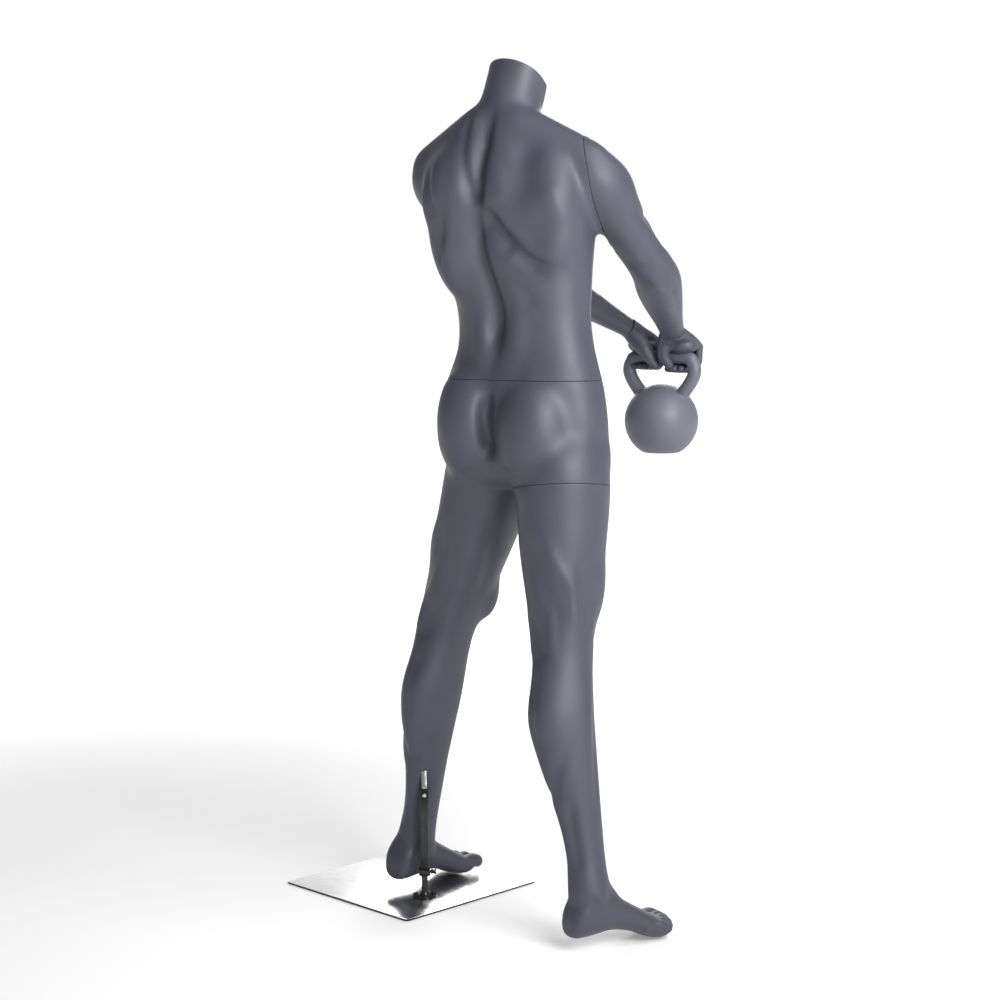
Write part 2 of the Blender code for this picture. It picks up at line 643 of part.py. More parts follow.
def figure():
    """The outer skin, and the same skin drawn in by the wall, and by the wall and a gap."""
    skin_now = melted("figure_forms", figure_forms(), VOXEL)
    soften(skin_now, 26, body_weight)
    tilt = math.radians(NECK_TILT)
    up = Vector((0, -math.sin(tilt), math.cos(tilt)))
    geom = skin_now.verts[:] + skin_now.edges[:] + skin_now.faces[:]
    bmesh.ops.bisect_plane(skin_now, geom=geom, dist=1e-6, plane_co=Vector(NECK_CUT), plane_no=up,
                           clear_outer=True)
    close_open_ends(skin_now)
    fine = skin_now.copy()
    outer = thinned("figure", skin_now, 4600)
    soften(fine, 6, lambda points: np.ones(len(points)))
    shrink(fine, WALL)
    inside = thinned("inside", fine, 760)
    room = bmesh.new()
    room.from_mesh(inside.data)
    shrink(room, 2 * GAP)
    return outer, inside, helper("board_room", room)


def keep_cavity_clear(cavity):
    """Feet and the ends of the forearms stay solid."""
    low = block("feet", (-0.28, 0, 0.02), WORLD_AXES, (0.9, 0.7, 0.26))
    cut(cavity, low)
    for name in ("wrist_r", "wrist_l"):
        centre, normal, _ = SEAMS[name]
        cut(cavity, slab("forearm_end", centre, normal, -0.040, 0.120, 0.07))


def shells(outer, inside):
    wanted = dict(torso=(-0.266, -0.08, 1.55), pelvis_left_leg=KNEE_L, leg_right=KNEE_R,
                  arm_right=between(ELBOW_R, WRIST_R, 0.7), arm_left=between(ELBOW_L, WRIST_L, 0.7))
    solids = sections(outer, wanted)
    for name, obj in solids.items():
        obj.name = name
        obj.hide_render, obj.display_type = False, "TEXTURED"
        obj.data.materials.append(paint(*PAINT["shell"]))
        cut(obj, inside)
    return solids


def joint_fitting(seam, room, sides, radius, post, reach, flange, board=0.006):
    """Bulkheads each side of a seam, a spigot fixed to the first and a bush in the second."""
    centre, n, _ = SEAMS[seam]
    for side, low, high in zip(sides, (-SEAM - board, SEAM), (-SEAM, SEAM + board)):
        plate = slab(f"{seam}_board_{side}", centre, n, low, high, radius, 24)
        cut(plate, room, how="INTERSECT")
        cut(plate, slab("hole", centre, n, -0.05, 0.05, post + 0.0012))
        plate.hide_render, plate.display_type = False, "TEXTURED"
        plate.data.materials.append(paint(*PAINT["board"]))
    under = -SEAM - board - GAP
    lathe(f"{seam}_spigot", centre, n, (
        (0, under - 0.004), (flange, under - 0.004), (flange, under), (post, under), (post, reach - 0.003),
        (post - 0.003, reach), (0, reach)), "zinc", 16)
    over = SEAM + board + GAP
    lathe(f"{seam}_bush", centre, n, (
        (post + 0.0006, over), (flange, over), (flange, over + 0.004), (post + 0.0045, over + 0.004),
        (post + 0.0045, over + reach * 0.7), (post + 0.0006, over + reach * 0.7)), "zinc", 16)


def wrist_magnets(solids, hands):
    """A magnet let into each forearm's end and a steel disc let into each hand."""
    for seam, arm, palm in (("wrist_r", "arm_right", "hand_right"), ("wrist_l", "arm_left", "hand_left")):
        centre, n, _ = SEAMS[seam]
        for obj, low, high in ((solids[arm], -0.0045, 0.002), (hands[palm], -0.002, 0.0045)):
            cut(obj, slab("recess", centre, n, low, high, 0.0095, 16))
        lathe(f"{arm}_magnet", centre, n, ((0, -0.0042), (0.009, -0.0042), (0.009, -SEAM), (0, -SEAM)),
              "magnet", 16)
        lathe(f"{palm}_disc", centre, n, ((0, SEAM), (0.009, SEAM), (0.009, 0.0042), (0, 0.0042)),
              "steel", 16)


def base_plate():
    bm = bmesh.new()
    half, r = PLATE_SIDE / 2, PLATE_CORNER
    rim = []
    for cx, cy, start in ((1, 1, 0), (-1, 1, 90), (-1, -1, 180), (1, -1, 270)):
        for k in range(5):
            a = math.radians(start + 22.5 * k)
            rim.append((cx * (half - r) + r * math.cos(a), cy * (half - r) + r * math.sin(a)))
    bevel = 0.0006
    rings = []
    for z, inset in ((0, bevel), (bevel, 0), (PLATE_THICK - bevel, 0), (PLATE_THICK, bevel)):
        scale = (half - inset) / half
        rings.append([Vector((x * scale, y * scale, z)) for x, y in rim])
    skin(bm, rings)
    plate = node("base_plate", bm, "plate")
    for x, y in screw_places():
        cut(plate, slab("tap", (x, y, 0), (0, 0, 1), 0.0015, 0.01, 0.0022, 12))
    return plate


def screw_places():
    return [(ROD_X + 0.017 * math.cos(math.radians(a)), ROD_Y + 0.017 * math.sin(math.radians(a)))
            for a in (45, 135, 225, 315)]


def rod_assembly():
    z = PLATE_THICK + GAP
    base = (ROD_X, ROD_Y, 0)
    up = (0, 0, 1)
    post = lathe("post", base, up, (
        (0, z), (FLANGE_RADIUS, z), (FLANGE_RADIUS, z + 0.003), (FLANGE_RADIUS - 0.001, z + 0.004),
        (0.0095, z + 0.004), (0.0078, z + 0.009), (POST_RADIUS, z + 0.010),
        (POST_RADIUS, POST_TOP), (0, POST_TOP)), "black", 28)
    for k, (x, y) in enumerate(screw_places()):
        cut(post, slab("clear", (x, y, 0), up, z - 0.002, z + 0.006, 0.0026, 12))
        top = z + 0.004 + GAP
        lathe(f"flange_screw_{k + 1}", (x, y, 0), up, (
            (0, 0.0018), (0.0018, 0.0018), (0.0018, top), (0.0040, top),
            (0.0036, top + 0.0018), (0.0020, top + 0.0026), (0, top + 0.0026)), "black", 10)
    axes = (Vector((1, 1, 0)).normalized(), Vector((-1, 1, 0)).normalized(), Vector((0, 0, 1)))
    middle = (ROD_X, ROD_Y, (ROD_FOOT + ROD_TOP) / 2)
    rod = block("calf_rod", middle, axes, (ROD_SIDE, ROD_SIDE, ROD_TOP - ROD_FOOT), "black")
    cut(rod, block("bore", middle, axes, (ROD_BORE, ROD_BORE, 1.0)))
    # clamp collar round the foot of the rod, its thumb screw and the screw that holds the tongue
    collar = block("clamp_collar", (ROD_X, ROD_Y, ROD_FOOT + 0.008), axes, (0.0226, 0.0226, 0.012), "black")
    cut(collar, block("collar_bore", middle, axes, (ROD_SIDE + 0.0007, ROD_SIDE + 0.0007, 1.0)))
    out = -axes[0]
    at = Vector((ROD_X, ROD_Y, ROD_FOOT + 0.008))
    for obj in (rod, collar):
        cut(obj, slab("thread", at, out, 0.0, 0.03, 0.0027, 16))
    screw = lathe("thumb_screw", at, out, ((0, 0.0067), (0.0023, 0.0067), (0.0023, 0.0124), (0.0050, 0.0124),
                  (0.0050, 0.0165), (0.0030, 0.0180), (0, 0.0180)), "black", 20)
    wing = block("wing", at + out * 0.0195, (axes[1], axes[2], out), (0.024, 0.0028, 0.0080))
    cut(screw, wing, how="UNION")
    tongue = tongue_strip()
    high = Vector((ROD_X, ROD_Y, ROD_TOP - 0.012))
    cut(rod, slab("pin_way", high, axes[1], -0.03, 0.03, 0.0026, 16))
    cut(tongue, slab("pin_way", high, axes[1], -0.03, 0.03, 0.0026, 16))
    lathe("tongue_screw", high, axes[1], ((0, -0.0084), (0.0022, -0.0084), (0.0022, 0.0084), (0.0042, 0.0084),
          (0.0042, 0.0100), (0.0026, 0.0114), (0, 0.0114)), "zinc", 16)
    return post, rod


def tongue_axes():
    d = Vector(TONGUE_LEAN).normalized()
    flat = Vector((1, 1, 0)).normalized()
    wide = (flat - d * flat.dot(d)).normalized()
    return wide, d.cross(wide), d


def tongue_strip():
    """Flat steel strip: upright in the rod, then leaning into the calf."""
    wide, thick, d = tongue_axes()
    upright = Vector((1, 1, 0)).normalized(), Vector((-1, 1, 0)).normalized()
    bend = Vector((ROD_X, ROD_Y, ROD_TOP + 0.002))
    bm = bmesh.new()
    rings = []
    for p, w, t in ((Vector((ROD_X, ROD_Y, TONGUE_FOOT)), *upright), (bend, *upright),
                    (bend + d * 0.006, wide, thick), (bend + d * TONGUE_LENGTH, wide, thick)):
        a, b = w * TONGUE_WIDTH / 2, t * TONGUE_THICK / 2
        rings.append([p + a + b, p - a + b, p - a - b, p + a - b])
    skin(bm, rings)
    return node("tongue", bm, "steel")


def calf_socket(leg):
    """Steel sleeve along the leaning strip, set through the back of the calf."""
    wide, thick, d = tongue_axes()
    bend = Vector((ROD_X, ROD_Y, ROD_TOP + 0.002))
    mouth, depth = 0.046, 0.096
    middle = bend + d * (mouth + depth / 2)
    sleeve = block("calf_socket", middle, (wide, thick, d),
                   (TONGUE_WIDTH + 0.0050, TONGUE_THICK + 0.0050, depth), "zinc")
    cut(sleeve, block("sleeve_bore", middle - d * 0.004, (wide, thick, d),
                      (TONGUE_WIDTH + 0.0010, TONGUE_THICK + 0.0010, depth)))
    cut(leg, block("sleeve_way", middle, (wide, thick, d),
                   (TONGUE_WIDTH + 0.0057, TONGUE_THICK + 0.0057, depth + 0.0008)))
    cut(leg, block("strip_way", bend + d * 0.02, (wide, thick, d),
                   (TONGUE_WIDTH + 0.0030, TONGUE_THICK + 0.0030, 0.08)))


def carried(name, point, parent, parts):
    """An empty on the joint's axis carries these pieces; their meshes are stored about it."""
    point = Vector(point)
    empty = bpy.data.objects.new(name, None)
    bpy.context.scene.collection.objects.link(empty)
    empty.parent, empty.location = (parent[0], point - parent[1]) if parent else (None, point)
    for part in parts:
        obj = bpy.data.objects[part]
        obj.data.transform(Matrix.Translation(-point))
        obj.parent = empty
    return empty, point


def hang_on_joints():
    foot = Vector((ROD_X, ROD_Y, ROD_FOOT))
    rod = carried("rod_slide", foot, None, ("calf_rod", "clamp_collar", "tongue", "tongue_screw"))
    carried("thumb_turn", foot + Vector((0, 0, 0.008)), rod, ("thumb_screw",))
    lower = carried("figure_lift", Vector((ROD_X, ROD_Y, ROD_TOP + 0.002)), rod, (
        "pelvis_left_leg", "waist_board_pelvis", "waist_spigot", "thigh_board_pelvis", "thigh_spigot",
        "calf_socket"))
    torso = carried("torso_lift", WAIST, lower, (
        "torso", "waist_board_torso", "waist_bush", "shoulder_r_board_torso", "shoulder_r_spigot",
        "shoulder_l_board_torso", "shoulder_l_spigot"))
    carried("leg_slide", SEAMS["thigh"][0], lower, ("leg_right", "thigh_board_leg", "thigh_bush"))
    carried("arm_right_slide", SEAMS["shoulder_r"][0], torso, (
        "arm_right", "shoulder_r_board_arm", "shoulder_r_bush", "arm_right_magnet"))
    arm = carried("arm_left_slide", SEAMS["shoulder_l"][0], torso, (
        "arm_left", "shoulder_l_board_arm", "shoulder_l_bush", "arm_left_magnet"))
    carried("grip_slide", BELL, arm, ("hand_right", "hand_left", "hand_right_disc", "hand_left_disc",
                                      "kettlebell"))


def main():
    clear_scene()
    outer, inside, room = figure()
    for cavity in (inside, room):
        keep_cavity_clear(cavity)
    solids = shells(outer, inside)
    joint_fitting("waist", room, ("pelvis", "torso"), 0.240, 0.016, 0.050, 0.036, 0.009)
    joint_fitting("thigh", room, ("pelvis", "leg"), 0.099, 0.011, 0.040, 0.026)
    joint_fitting("shoulder_r", room, ("torso", "arm"), 0.150, 0.009, 0.026, 0.019)
    joint_fitting("shoulder_l", room, ("torso", "arm"), 0.140, 0.009, 0.026, 0.019)
    hands = {"hand_right": hand(1), "hand_left": hand(-1)}
    wrist_magnets(solids, hands)
    kettlebell()
    base_plate()
    rod_assembly()
    calf_socket(solids["pelvis_left_leg"])
    hang_on_joints()


main()
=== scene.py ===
"""Looks of the headless kettlebell mannequin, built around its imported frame.

The figure is remade from the same overlapping forms as its solids, with finer skin and its muscle relief,
then cut at the same seams. Metres, +Z up; the figure faces -Y and its right side is -X.
"""

import math

import bmesh
import bpy
import numpy as np
from mathutils import Matrix, Vector
from mathutils.bvhtree import BVHTree


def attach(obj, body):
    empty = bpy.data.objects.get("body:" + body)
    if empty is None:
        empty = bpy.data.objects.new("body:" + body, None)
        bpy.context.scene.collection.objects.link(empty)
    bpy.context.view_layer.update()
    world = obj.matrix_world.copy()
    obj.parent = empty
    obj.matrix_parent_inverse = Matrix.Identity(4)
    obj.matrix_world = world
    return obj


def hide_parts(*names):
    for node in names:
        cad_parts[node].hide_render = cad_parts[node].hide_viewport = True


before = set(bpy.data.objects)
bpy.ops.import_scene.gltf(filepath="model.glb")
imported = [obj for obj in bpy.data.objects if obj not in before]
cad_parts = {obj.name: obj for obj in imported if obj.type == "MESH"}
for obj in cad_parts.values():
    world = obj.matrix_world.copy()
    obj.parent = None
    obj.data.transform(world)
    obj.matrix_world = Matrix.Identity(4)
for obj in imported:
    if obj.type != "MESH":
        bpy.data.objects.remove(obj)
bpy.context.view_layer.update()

# ---- driving values, the same as the solids' ----------------------------------------------------

SKIN_VOXEL = 0.0031
HAND_VOXEL = 0.0015
MELT = 0.0167                    # how far neighbouring forms flow into each other
WALL = 0.0045
SEAM = 0.0003                    # each side draws back this far from a seam
RIM = 0.0008                     # rounding of a section's edge
NECK_CUT, NECK_TILT = Vector((-0.266, -0.033, 1.602)), 31.0
WAIST = (-0.284, -0.036, 1.035)
HIP_R, KNEE_R, ANKLE_R = (-0.378, -0.032, 0.915), (-0.428, 0.008, 0.548), (-0.530, 0.049, 0.110)
HIP_L, KNEE_L, ANKLE_L = (-0.212, -0.043, 0.915), (-0.098, -0.010, 0.548), (-0.040, 0.021, 0.110)
HEEL_R, HEEL_L = (-0.519, 0.098), (-0.036, 0.084)
TOE_OUT_R, TOE_OUT_L = 12.5, 5.0
SHOULDER_R, ELBOW_R, WRIST_R = (-0.418, -0.078, 1.410), (-0.418, -0.256, 1.238), (-0.316, -0.435, 1.119)
SHOULDER_L, ELBOW_L, WRIST_L = (-0.090, 0.004, 1.412), (-0.118, -0.200, 1.252), (-0.215, -0.414, 1.126)
CHEST_TURN = 22.0
BELL = Vector((-0.260, -0.470, 0.9345))
BELL_RADIUS, BELL_FLAT = 0.0760, 0.0665
BAR_RISE, BAR_RADIUS, BAR_TURN = 0.131, 0.0138, 8.0
BAR_PATH = ((0.036, 0.038), (0.051, 0.057), (0.069, 0.080), (0.0785, 0.101), (0.073, 0.120), (0.054, 0.1305))

# z, turn to the figure's left, centre x, centre y, half-sizes right, left, front, back, squareness
TRUNK = (
    (0.835, 7, -0.290, -0.038, 0.085, 0.085, 0.070, 0.070, 2.2),
    (0.870, 7, -0.290, -0.038, 0.138, 0.136, 0.095, 0.092, 2.2),
    (0.920, 7, -0.290, -0.039, 0.166, 0.164, 0.105, 0.098, 2.2),
    (0.970, 7, -0.288, -0.038, 0.168, 0.182, 0.105, 0.100, 2.2),
    (1.030, 8, -0.286, -0.037, 0.160, 0.171, 0.100, 0.094, 2.2),
    (1.090, 10, -0.282, -0.033, 0.146, 0.138, 0.098, 0.081, 2.2),
    (1.150, 13, -0.279, -0.029, 0.140, 0.127, 0.100, 0.079, 2.2),
    (1.210, 16, -0.276, -0.025, 0.145, 0.133, 0.106, 0.086, 2.2),
    (1.270, 19, -0.272, -0.021, 0.153, 0.148, 0.114, 0.094, 2.2),
    (1.330, 22, -0.268, -0.018, 0.160, 0.164, 0.120, 0.100, 2.3),
    (1.390, 22, -0.264, -0.013, 0.162, 0.171, 0.116, 0.102, 2.3),
    (1.435, 22, -0.259, -0.008, 0.142, 0.158, 0.095, 0.094, 2.2),
    (1.475, 21, -0.257, -0.007, 0.105, 0.122, 0.070, 0.080, 2.0),
    (1.510, 18, -0.258, -0.010, 0.068, 0.082, 0.060, 0.068, 2.0),
    (1.545, 14, -0.262, -0.018, 0.058, 0.061, 0.060, 0.060, 2.0),
    (1.590, 8, -0.266, -0.030, 0.058, 0.058, 0.062, 0.058, 2.0),
    (1.660, 3, -0.271, -0.050, 0.059, 0.059, 0.064, 0.058, 2.0),
)


# ---- materials ----------------------------------------------------------------------------------

def shader(name, rgb, rough, metal=0.0):
    mat = bpy.data.materials.new(name)
    mat.use_nodes = True
    nodes = mat.node_tree.nodes
    bsdf = nodes["Principled BSDF"]
    bsdf.inputs["Base Color"].default_value = (*rgb, 1)
    bsdf.inputs["Roughness"].default_value = rough
    bsdf.inputs["Metallic"].default_value = metal
    return mat, nodes, mat.node_tree.links, bsdf


def noise(nodes, links, scale, detail=2.0, stretch=(1, 1, 1)):
    place = nodes.new("ShaderNodeTexCoord")
    mapping = nodes.new("ShaderNodeMapping")
    mapping.inputs["Scale"].default_value = stretch
    tex = nodes.new("ShaderNodeTexNoise")
    tex.inputs["Scale"].default_value = scale
    tex.inputs["Detail"].default_value = detail
    links.new(place.outputs["Object"], mapping.inputs["Vector"])
    links.new(mapping.outputs["Vector"], tex.inputs["Vector"])
    return tex.outputs["Fac"]


def ramp(nodes, links, value, low, high, start=0.3, end=0.7):
    """Colours low to high as value runs from start to end."""
    node = nodes.new("ShaderNodeValToRGB")
    node.color_ramp.elements[0].position, node.color_ramp.elements[1].position = start, end
    node.color_ramp.elements[0].color, node.color_ramp.elements[1].color = (*low, 1), (*high, 1)
    links.new(value, node.inputs["Fac"])
    return node.outputs["Color"]


def grey(level):
    return (level, level, level)


def bump(nodes, links, bsdf, height, strength, distance=0.001):
    node = nodes.new("ShaderNodeBump")
    node.inputs["Strength"].default_value = strength
    node.inputs["Distance"].default_value = distance
    links.new(height, node.inputs["Height"])
    links.new(node.outputs["Normal"], bsdf.inputs["Normal"])


def satin_paint(name, rgb, rough, peel):
    """Sprayed satin lacquer: faint cloudiness, uneven sheen and fine orange peel."""
    mat, nodes, links, bsdf = shader(name, rgb, rough)
    low, high = [tuple(c * f for c in rgb) for f in (0.95, 1.05)]
    links.new(ramp(nodes, links, noise(nodes, links, 9, 4), low, high), bsdf.inputs["Base Color"])
    sheen = ramp(nodes, links, noise(nodes, links, 22, 5), grey(rough - 0.03), grey(rough + 0.05))
    links.new(sheen, bsdf.inputs["Roughness"])
    bump(nodes, links, bsdf, noise(nodes, links, peel, 3), 0.10, 0.0003)
    return mat


def powder_coat(name):
    mat, nodes, links, bsdf = shader(name, (0.012, 0.012, 0.013), 0.22, 0.0)
    links.new(ramp(nodes, links, noise(nodes, links, 60, 4), grey(0.17), grey(0.30)), bsdf.inputs["Roughness"])
    bump(nodes, links, bsdf, noise(nodes, links, 900, 3), 0.12, 0.0003)
    return mat


def metal(name, rgb, rough, grain, stretch=(1, 1, 1), depth=0.05):
    """Metal with a grain that may run one way."""
    mat, nodes, links, bsdf = shader(name, rgb, rough, 1.0)
    streak = noise(nodes, links, grain, 6, stretch)
    links.new(ramp(nodes, links, streak, grey(rough * 0.85), grey(rough * 1.2)), bsdf.inputs["Roughness"])
    low, high = [tuple(c * f for c in rgb) for f in (0.93, 1.04)]
    links.new(ramp(nodes, links, noise(nodes, links, 30, 4, stretch), low, high), bsdf.inputs["Base Color"])
    bump(nodes, links, bsdf, streak, depth, 0.0002)
    return mat


def plywood(name):
    """Birch ply: long face grain with pores."""
    mat, nodes, links, bsdf = shader(name, (0.45, 0.32, 0.19), 0.7)
    grain = noise(nodes, links, 26, 8, (1, 9, 9))
    links.new(ramp(nodes, links, grain, (0.30, 0.19, 0.10), (0.56, 0.41, 0.25)), bsdf.inputs["Base Color"])
    bump(nodes, links, bsdf, grain, 0.25, 0.0004)
    return mat


LOOK = dict(
    shell=satin_paint("slate_satin_paint", (0.051, 0.053, 0.074), 0.50, 1100),
    # The kettlebell's slate paint, about twice as light as the shell's: the extra lightness is painted light
    # standing in for the backlit haze on it.
    kettle=satin_paint("slate_kettlebell_paint", (0.107, 0.112, 0.138), 0.48, 600),
    ply=plywood("birch_plywood"),
    black=powder_coat("black_powder_coat"),
    plate=metal("polished_steel_plate", (0.84, 0.84, 0.84), 0.22, 9, (1, 5, 1), 0.003),
    zinc=metal("zinc_plated_steel", (0.62, 0.62, 0.60), 0.34, 220),
    steel=metal("bare_steel_strip", (0.72, 0.72, 0.71), 0.24, 60, (8, 8, 0.6)),
    magnet=metal("nickel_magnet", (0.60, 0.58, 0.54), 0.20, 300),
)


# ---- sections and lofts -------------------------------------------------------------------------

def heading(turn):
    a = math.radians(turn)
    return Vector((-math.cos(a), -math.sin(a), 0)), Vector((math.sin(a), -math.cos(a), 0))


def tilted(turn, rise, side):
    a, b = math.radians(turn), math.radians(rise)
    return Vector((-math.cos(a) * math.cos(b) * side, -math.sin(a) * math.cos(b) * side, math.sin(b)))


def through(values, steps):
    """Catmull-Rom spline through rows of numbers."""
    rows = [np.array(v, float) for v in values]
    rows = [2 * rows[0] - rows[1]] + rows + [2 * rows[-1] - rows[-2]]
    out = []
    for i in range(1, len(rows) - 2):
        p0, p1, p2, p3 = rows[i - 1:i + 3]
        for k in range(steps):
            t = k / steps
            out.append(0.5 * (2 * p1 + (p2 - p0) * t + (2 * p0 - 5 * p1 + 4 * p2 - p3) * t ** 2
                              + (3 * p1 - p0 - 3 * p2 + p3) * t ** 3))
    out.append(rows[-2])
    return out


def ring(centre, right, front, sizes, sides=28, power=2.0):
    """Rounded section; sizes run right, left, front, back."""
    pts = []
    for k in range(sides):
        a = 2 * math.pi * k / sides
        c, s = math.cos(a), math.sin(a)
        w = sizes[0] if c > 0 else sizes[1]
        d = sizes[2] if s > 0 else sizes[3]
        c = math.copysign(abs(c) ** (2 / power), c)
        s = math.copysign(abs(s) ** (2 / power), s)
        pts.append(centre + right * (c * w) + front * (s * d))
    return pts


def skin(bm, rings):
    loops = [[bm.verts.new(p) for p in r] for r in rings]
    n = len(loops[0])
    faces = []
    for a, b in zip(loops, loops[1:]):
        faces += [bm.faces.new((a[k], a[(k + 1) % n], b[(k + 1) % n], b[k])) for k in range(n)]
    faces += [bm.faces.new(loops[0][::-1]), bm.faces.new(loops[-1])]
    bmesh.ops.recalc_face_normals(bm, faces=faces)


def trunk(bm, stations, steps=3):
    rings = []
    for z, turn, x, y, r, l, f, b, power in through(stations, steps):
        right, front = heading(turn)
        rings.append(ring(Vector((x, y, z)), right, front, (r, l, f, b), 48, power))
    skin(bm, rings)


def limb(bm, stations, front, steps=5, sides=32):
    """Stations x, y, z, right, left, front, back; each ring is square to the path."""
    rows = through(stations, steps)
    pts = [Vector(r[:3]) for r in rows]
    rings = []
    for i, (p, row) in enumerate(zip(pts, rows)):
        t = (pts[min(i + 1, len(pts) - 1)] - pts[max(i - 1, 0)]).normalized()
        f = (Vector(front) - t * Vector(front).dot(t)).normalized()
        rings.append(ring(p, t.cross(f), f, row[3:7], sides))
    skin(bm, rings)


def between(a, b, t):
    return tuple(Vector(a).lerp(Vector(b), t))


def mass(bm, centre, radii, along=(0, 0, 1), front=(0, -1, 0)):
    """Ellipsoid; radii run across, deep, along."""
    z = Vector(along).normalized()
    f = (Vector(front) - z * Vector(front).dot(z)).normalized()
    m = Matrix((z.cross(f) * radii[0], f * radii[1], z * radii[2])).transposed().to_4x4()
    m.translation = Vector(centre)
    bmesh.ops.create_uvsphere(bm, u_segments=36, v_segments=24, radius=1, matrix=m)


def bar(bm, a, b, ra, rb=None, sides=24):
    """Round-ended taper from a to b."""
    rb = ra if rb is None else rb
    a, b = Vector(a), Vector(b)
    d = (b - a).normalized()
    ref = Vector((0, 0, 1)) if abs(d.z) < 0.9 else Vector((0, -1, 0))
    f = (ref - d * ref.dot(d)).normalized()
    r = f.cross(d)
    rings = []
    for k in range(1, 7):
        t = math.pi / 2 * k / 6
        rings.append(ring(a - d * ra * math.cos(t), r, f, (ra * math.sin(t),) * 4, sides))
    for k in range(6, 0, -1):
        t = math.pi / 2 * k / 6
        rings.append(ring(b + d * rb * math.cos(t), r, f, (rb * math.sin(t),) * 4, sides))
    skin(bm, rings)


# ---- the figure's forms -------------------------------------------------------------------------

def torso_point(u, v, z, turn=None):
    """u to the figure's right, v to its front, from the trunk's centre at height z."""
    rows = np.array([r[:4] for r in TRUNK])
    t, x, y = (np.interp(z, rows[:, 0], rows[:, k]) for k in (1, 2, 3))
    right, front = heading(t if turn is None else turn)
    return Vector((x, y, z)) + right * u + front * v


def add_trunk(bm):
    trunk(bm, TRUNK)
    for side in (1, -1):
        shoulder = Vector(SHOULDER_R if side > 0 else SHOULDER_L)
        right, front = heading(CHEST_TURN)
        # seat, chest, shoulder blade, side of the back, the long muscles by the spine
        seat, lift, tall = (0.060, 0.932, 0.115) if side > 0 else (-0.083, 0.944, 0.125)
        mass(bm, torso_point(seat, -0.048, lift), (0.080, 0.082, tall), (0.0, 0.1, 1))
        ahead, rise, tall = (0.010, 0.886, 0.086) if side > 0 else (-0.008, 0.915, 0.056)
        mass(bm, torso_point(0.122 * side, ahead, rise), (0.048, 0.060, tall), (0, 0, 1))
        mass(bm, torso_point(0.074 * side, 0.082, 1.360), (0.066, 0.044, 0.082), right, front)
        mass(bm, torso_point(0.084 * side, -0.058, 1.375), (0.072, 0.042, 0.090), (0.1 * side, 0, 1), -front)
        mass(bm, torso_point(0.104 * side, -0.028, 1.300), (0.052, 0.062, 0.120), (-0.2 * side, 0, 1),
             -front)
        mass(bm, torso_point(0.034 * side, -0.050, 1.110), (0.032, 0.036, 0.160), (0, 0, 1))
        # from the neck out to the shoulder
        top = shoulder + Vector((0, 0.012, 0.026))
        bar(bm, torso_point(0.030 * side, -0.022, 1.500), top, 0.050, 0.042)
        bar(bm, torso_point(0.050 * side, 0.025, 1.445), shoulder + Vector((0, -0.010, 0.004)), 0.045, 0.048)
    bar(bm, torso_point(0, -0.036, 1.46), torso_point(0, -0.026, 1.58), 0.045, 0.034)


def add_leg(bm, hip, knee, ankle, toe_out, side):
    """side is 1 for the right leg, whose outer half-size comes first."""
    front = (math.sin(math.radians(toe_out)) * -side, -1, 0)

    def row(p, outer, inner, f, b):
        return (*p, outer, inner, f, b) if side > 0 else (*p, inner, outer, f, b)

    top = Vector(hip) + Vector((0.012 * side, 0, 0.010))
    limb(bm, (
        row(top, 0.075, 0.070, 0.070, 0.070),
        row(between(hip, knee, 0.14), 0.089, 0.092, 0.094, 0.088),
        row(between(hip, knee, 0.35), 0.082, 0.086, 0.095, 0.083),
        row(between(hip, knee, 0.58), 0.072, 0.077, 0.085, 0.075),
        row(between(hip, knee, 0.80), 0.061, 0.066, 0.070, 0.066),
        row(knee, 0.058, 0.058, 0.058, 0.062),
        row(between(knee, ankle, 0.13), 0.054, 0.055, 0.046, 0.074),
        row(between(knee, ankle, 0.30), 0.056, 0.057, 0.038, 0.093),
        row(between(knee, ankle, 0.48), 0.050, 0.050, 0.036, 0.077),
        row(between(knee, ankle, 0.70), 0.040, 0.041, 0.037, 0.052),
        row(between(knee, ankle, 0.88), 0.035, 0.036, 0.038, 0.041),
        row(ankle, 0.036, 0.036, 0.040, 0.042),
        row(Vector(ankle) - Vector((0, 0, 0.045)), 0.031, 0.031, 0.040, 0.038),
    ), front)
    # kneecap, the thigh above the knee on both sides, ankle bones
    fwd = Vector(front).normalized()
    out = Vector((-side, 0, 0))
    mass(bm, Vector(knee) + fwd * 0.034 + Vector((0, 0, 0.012)), (0.034, 0.027, 0.042))
    mass(bm, Vector(between(hip, knee, 0.80)) - out * 0.030 + fwd * 0.042, (0.036, 0.036, 0.070))
    mass(bm, Vector(between(hip, knee, 0.66)) + out * 0.020 + fwd * 0.034, (0.040, 0.040, 0.110))
    for way, lift in ((1, 0.0), (-1, 0.012)):
        mass(bm, Vector(ankle) + out * way * 0.028 + Vector((0, 0.004, lift - 0.006)), (0.013, 0.017, 0.019))


TOES = (  # across towards the outside, reach from the heel, radius; the big toe first
    (-0.030, 0.237, 0.0138), (-0.0065, 0.239, 0.0100), (0.0125, 0.232, 0.0094),
    (0.0290, 0.222, 0.0089), (0.0425, 0.210, 0.0084))


FEET = ((HEEL_R, TOE_OUT_R, 0.0014, 1), (HEEL_L, TOE_OUT_L, 0.0058, -1))


def foot_axes(heel, toe_out, lift, side):
    a = math.radians(toe_out)
    ahead = Vector((-math.sin(a) * side, -math.cos(a), 0))
    out = Vector((-math.cos(a) * side, math.sin(a), 0))
    return Vector((*heel, lift)), ahead, out


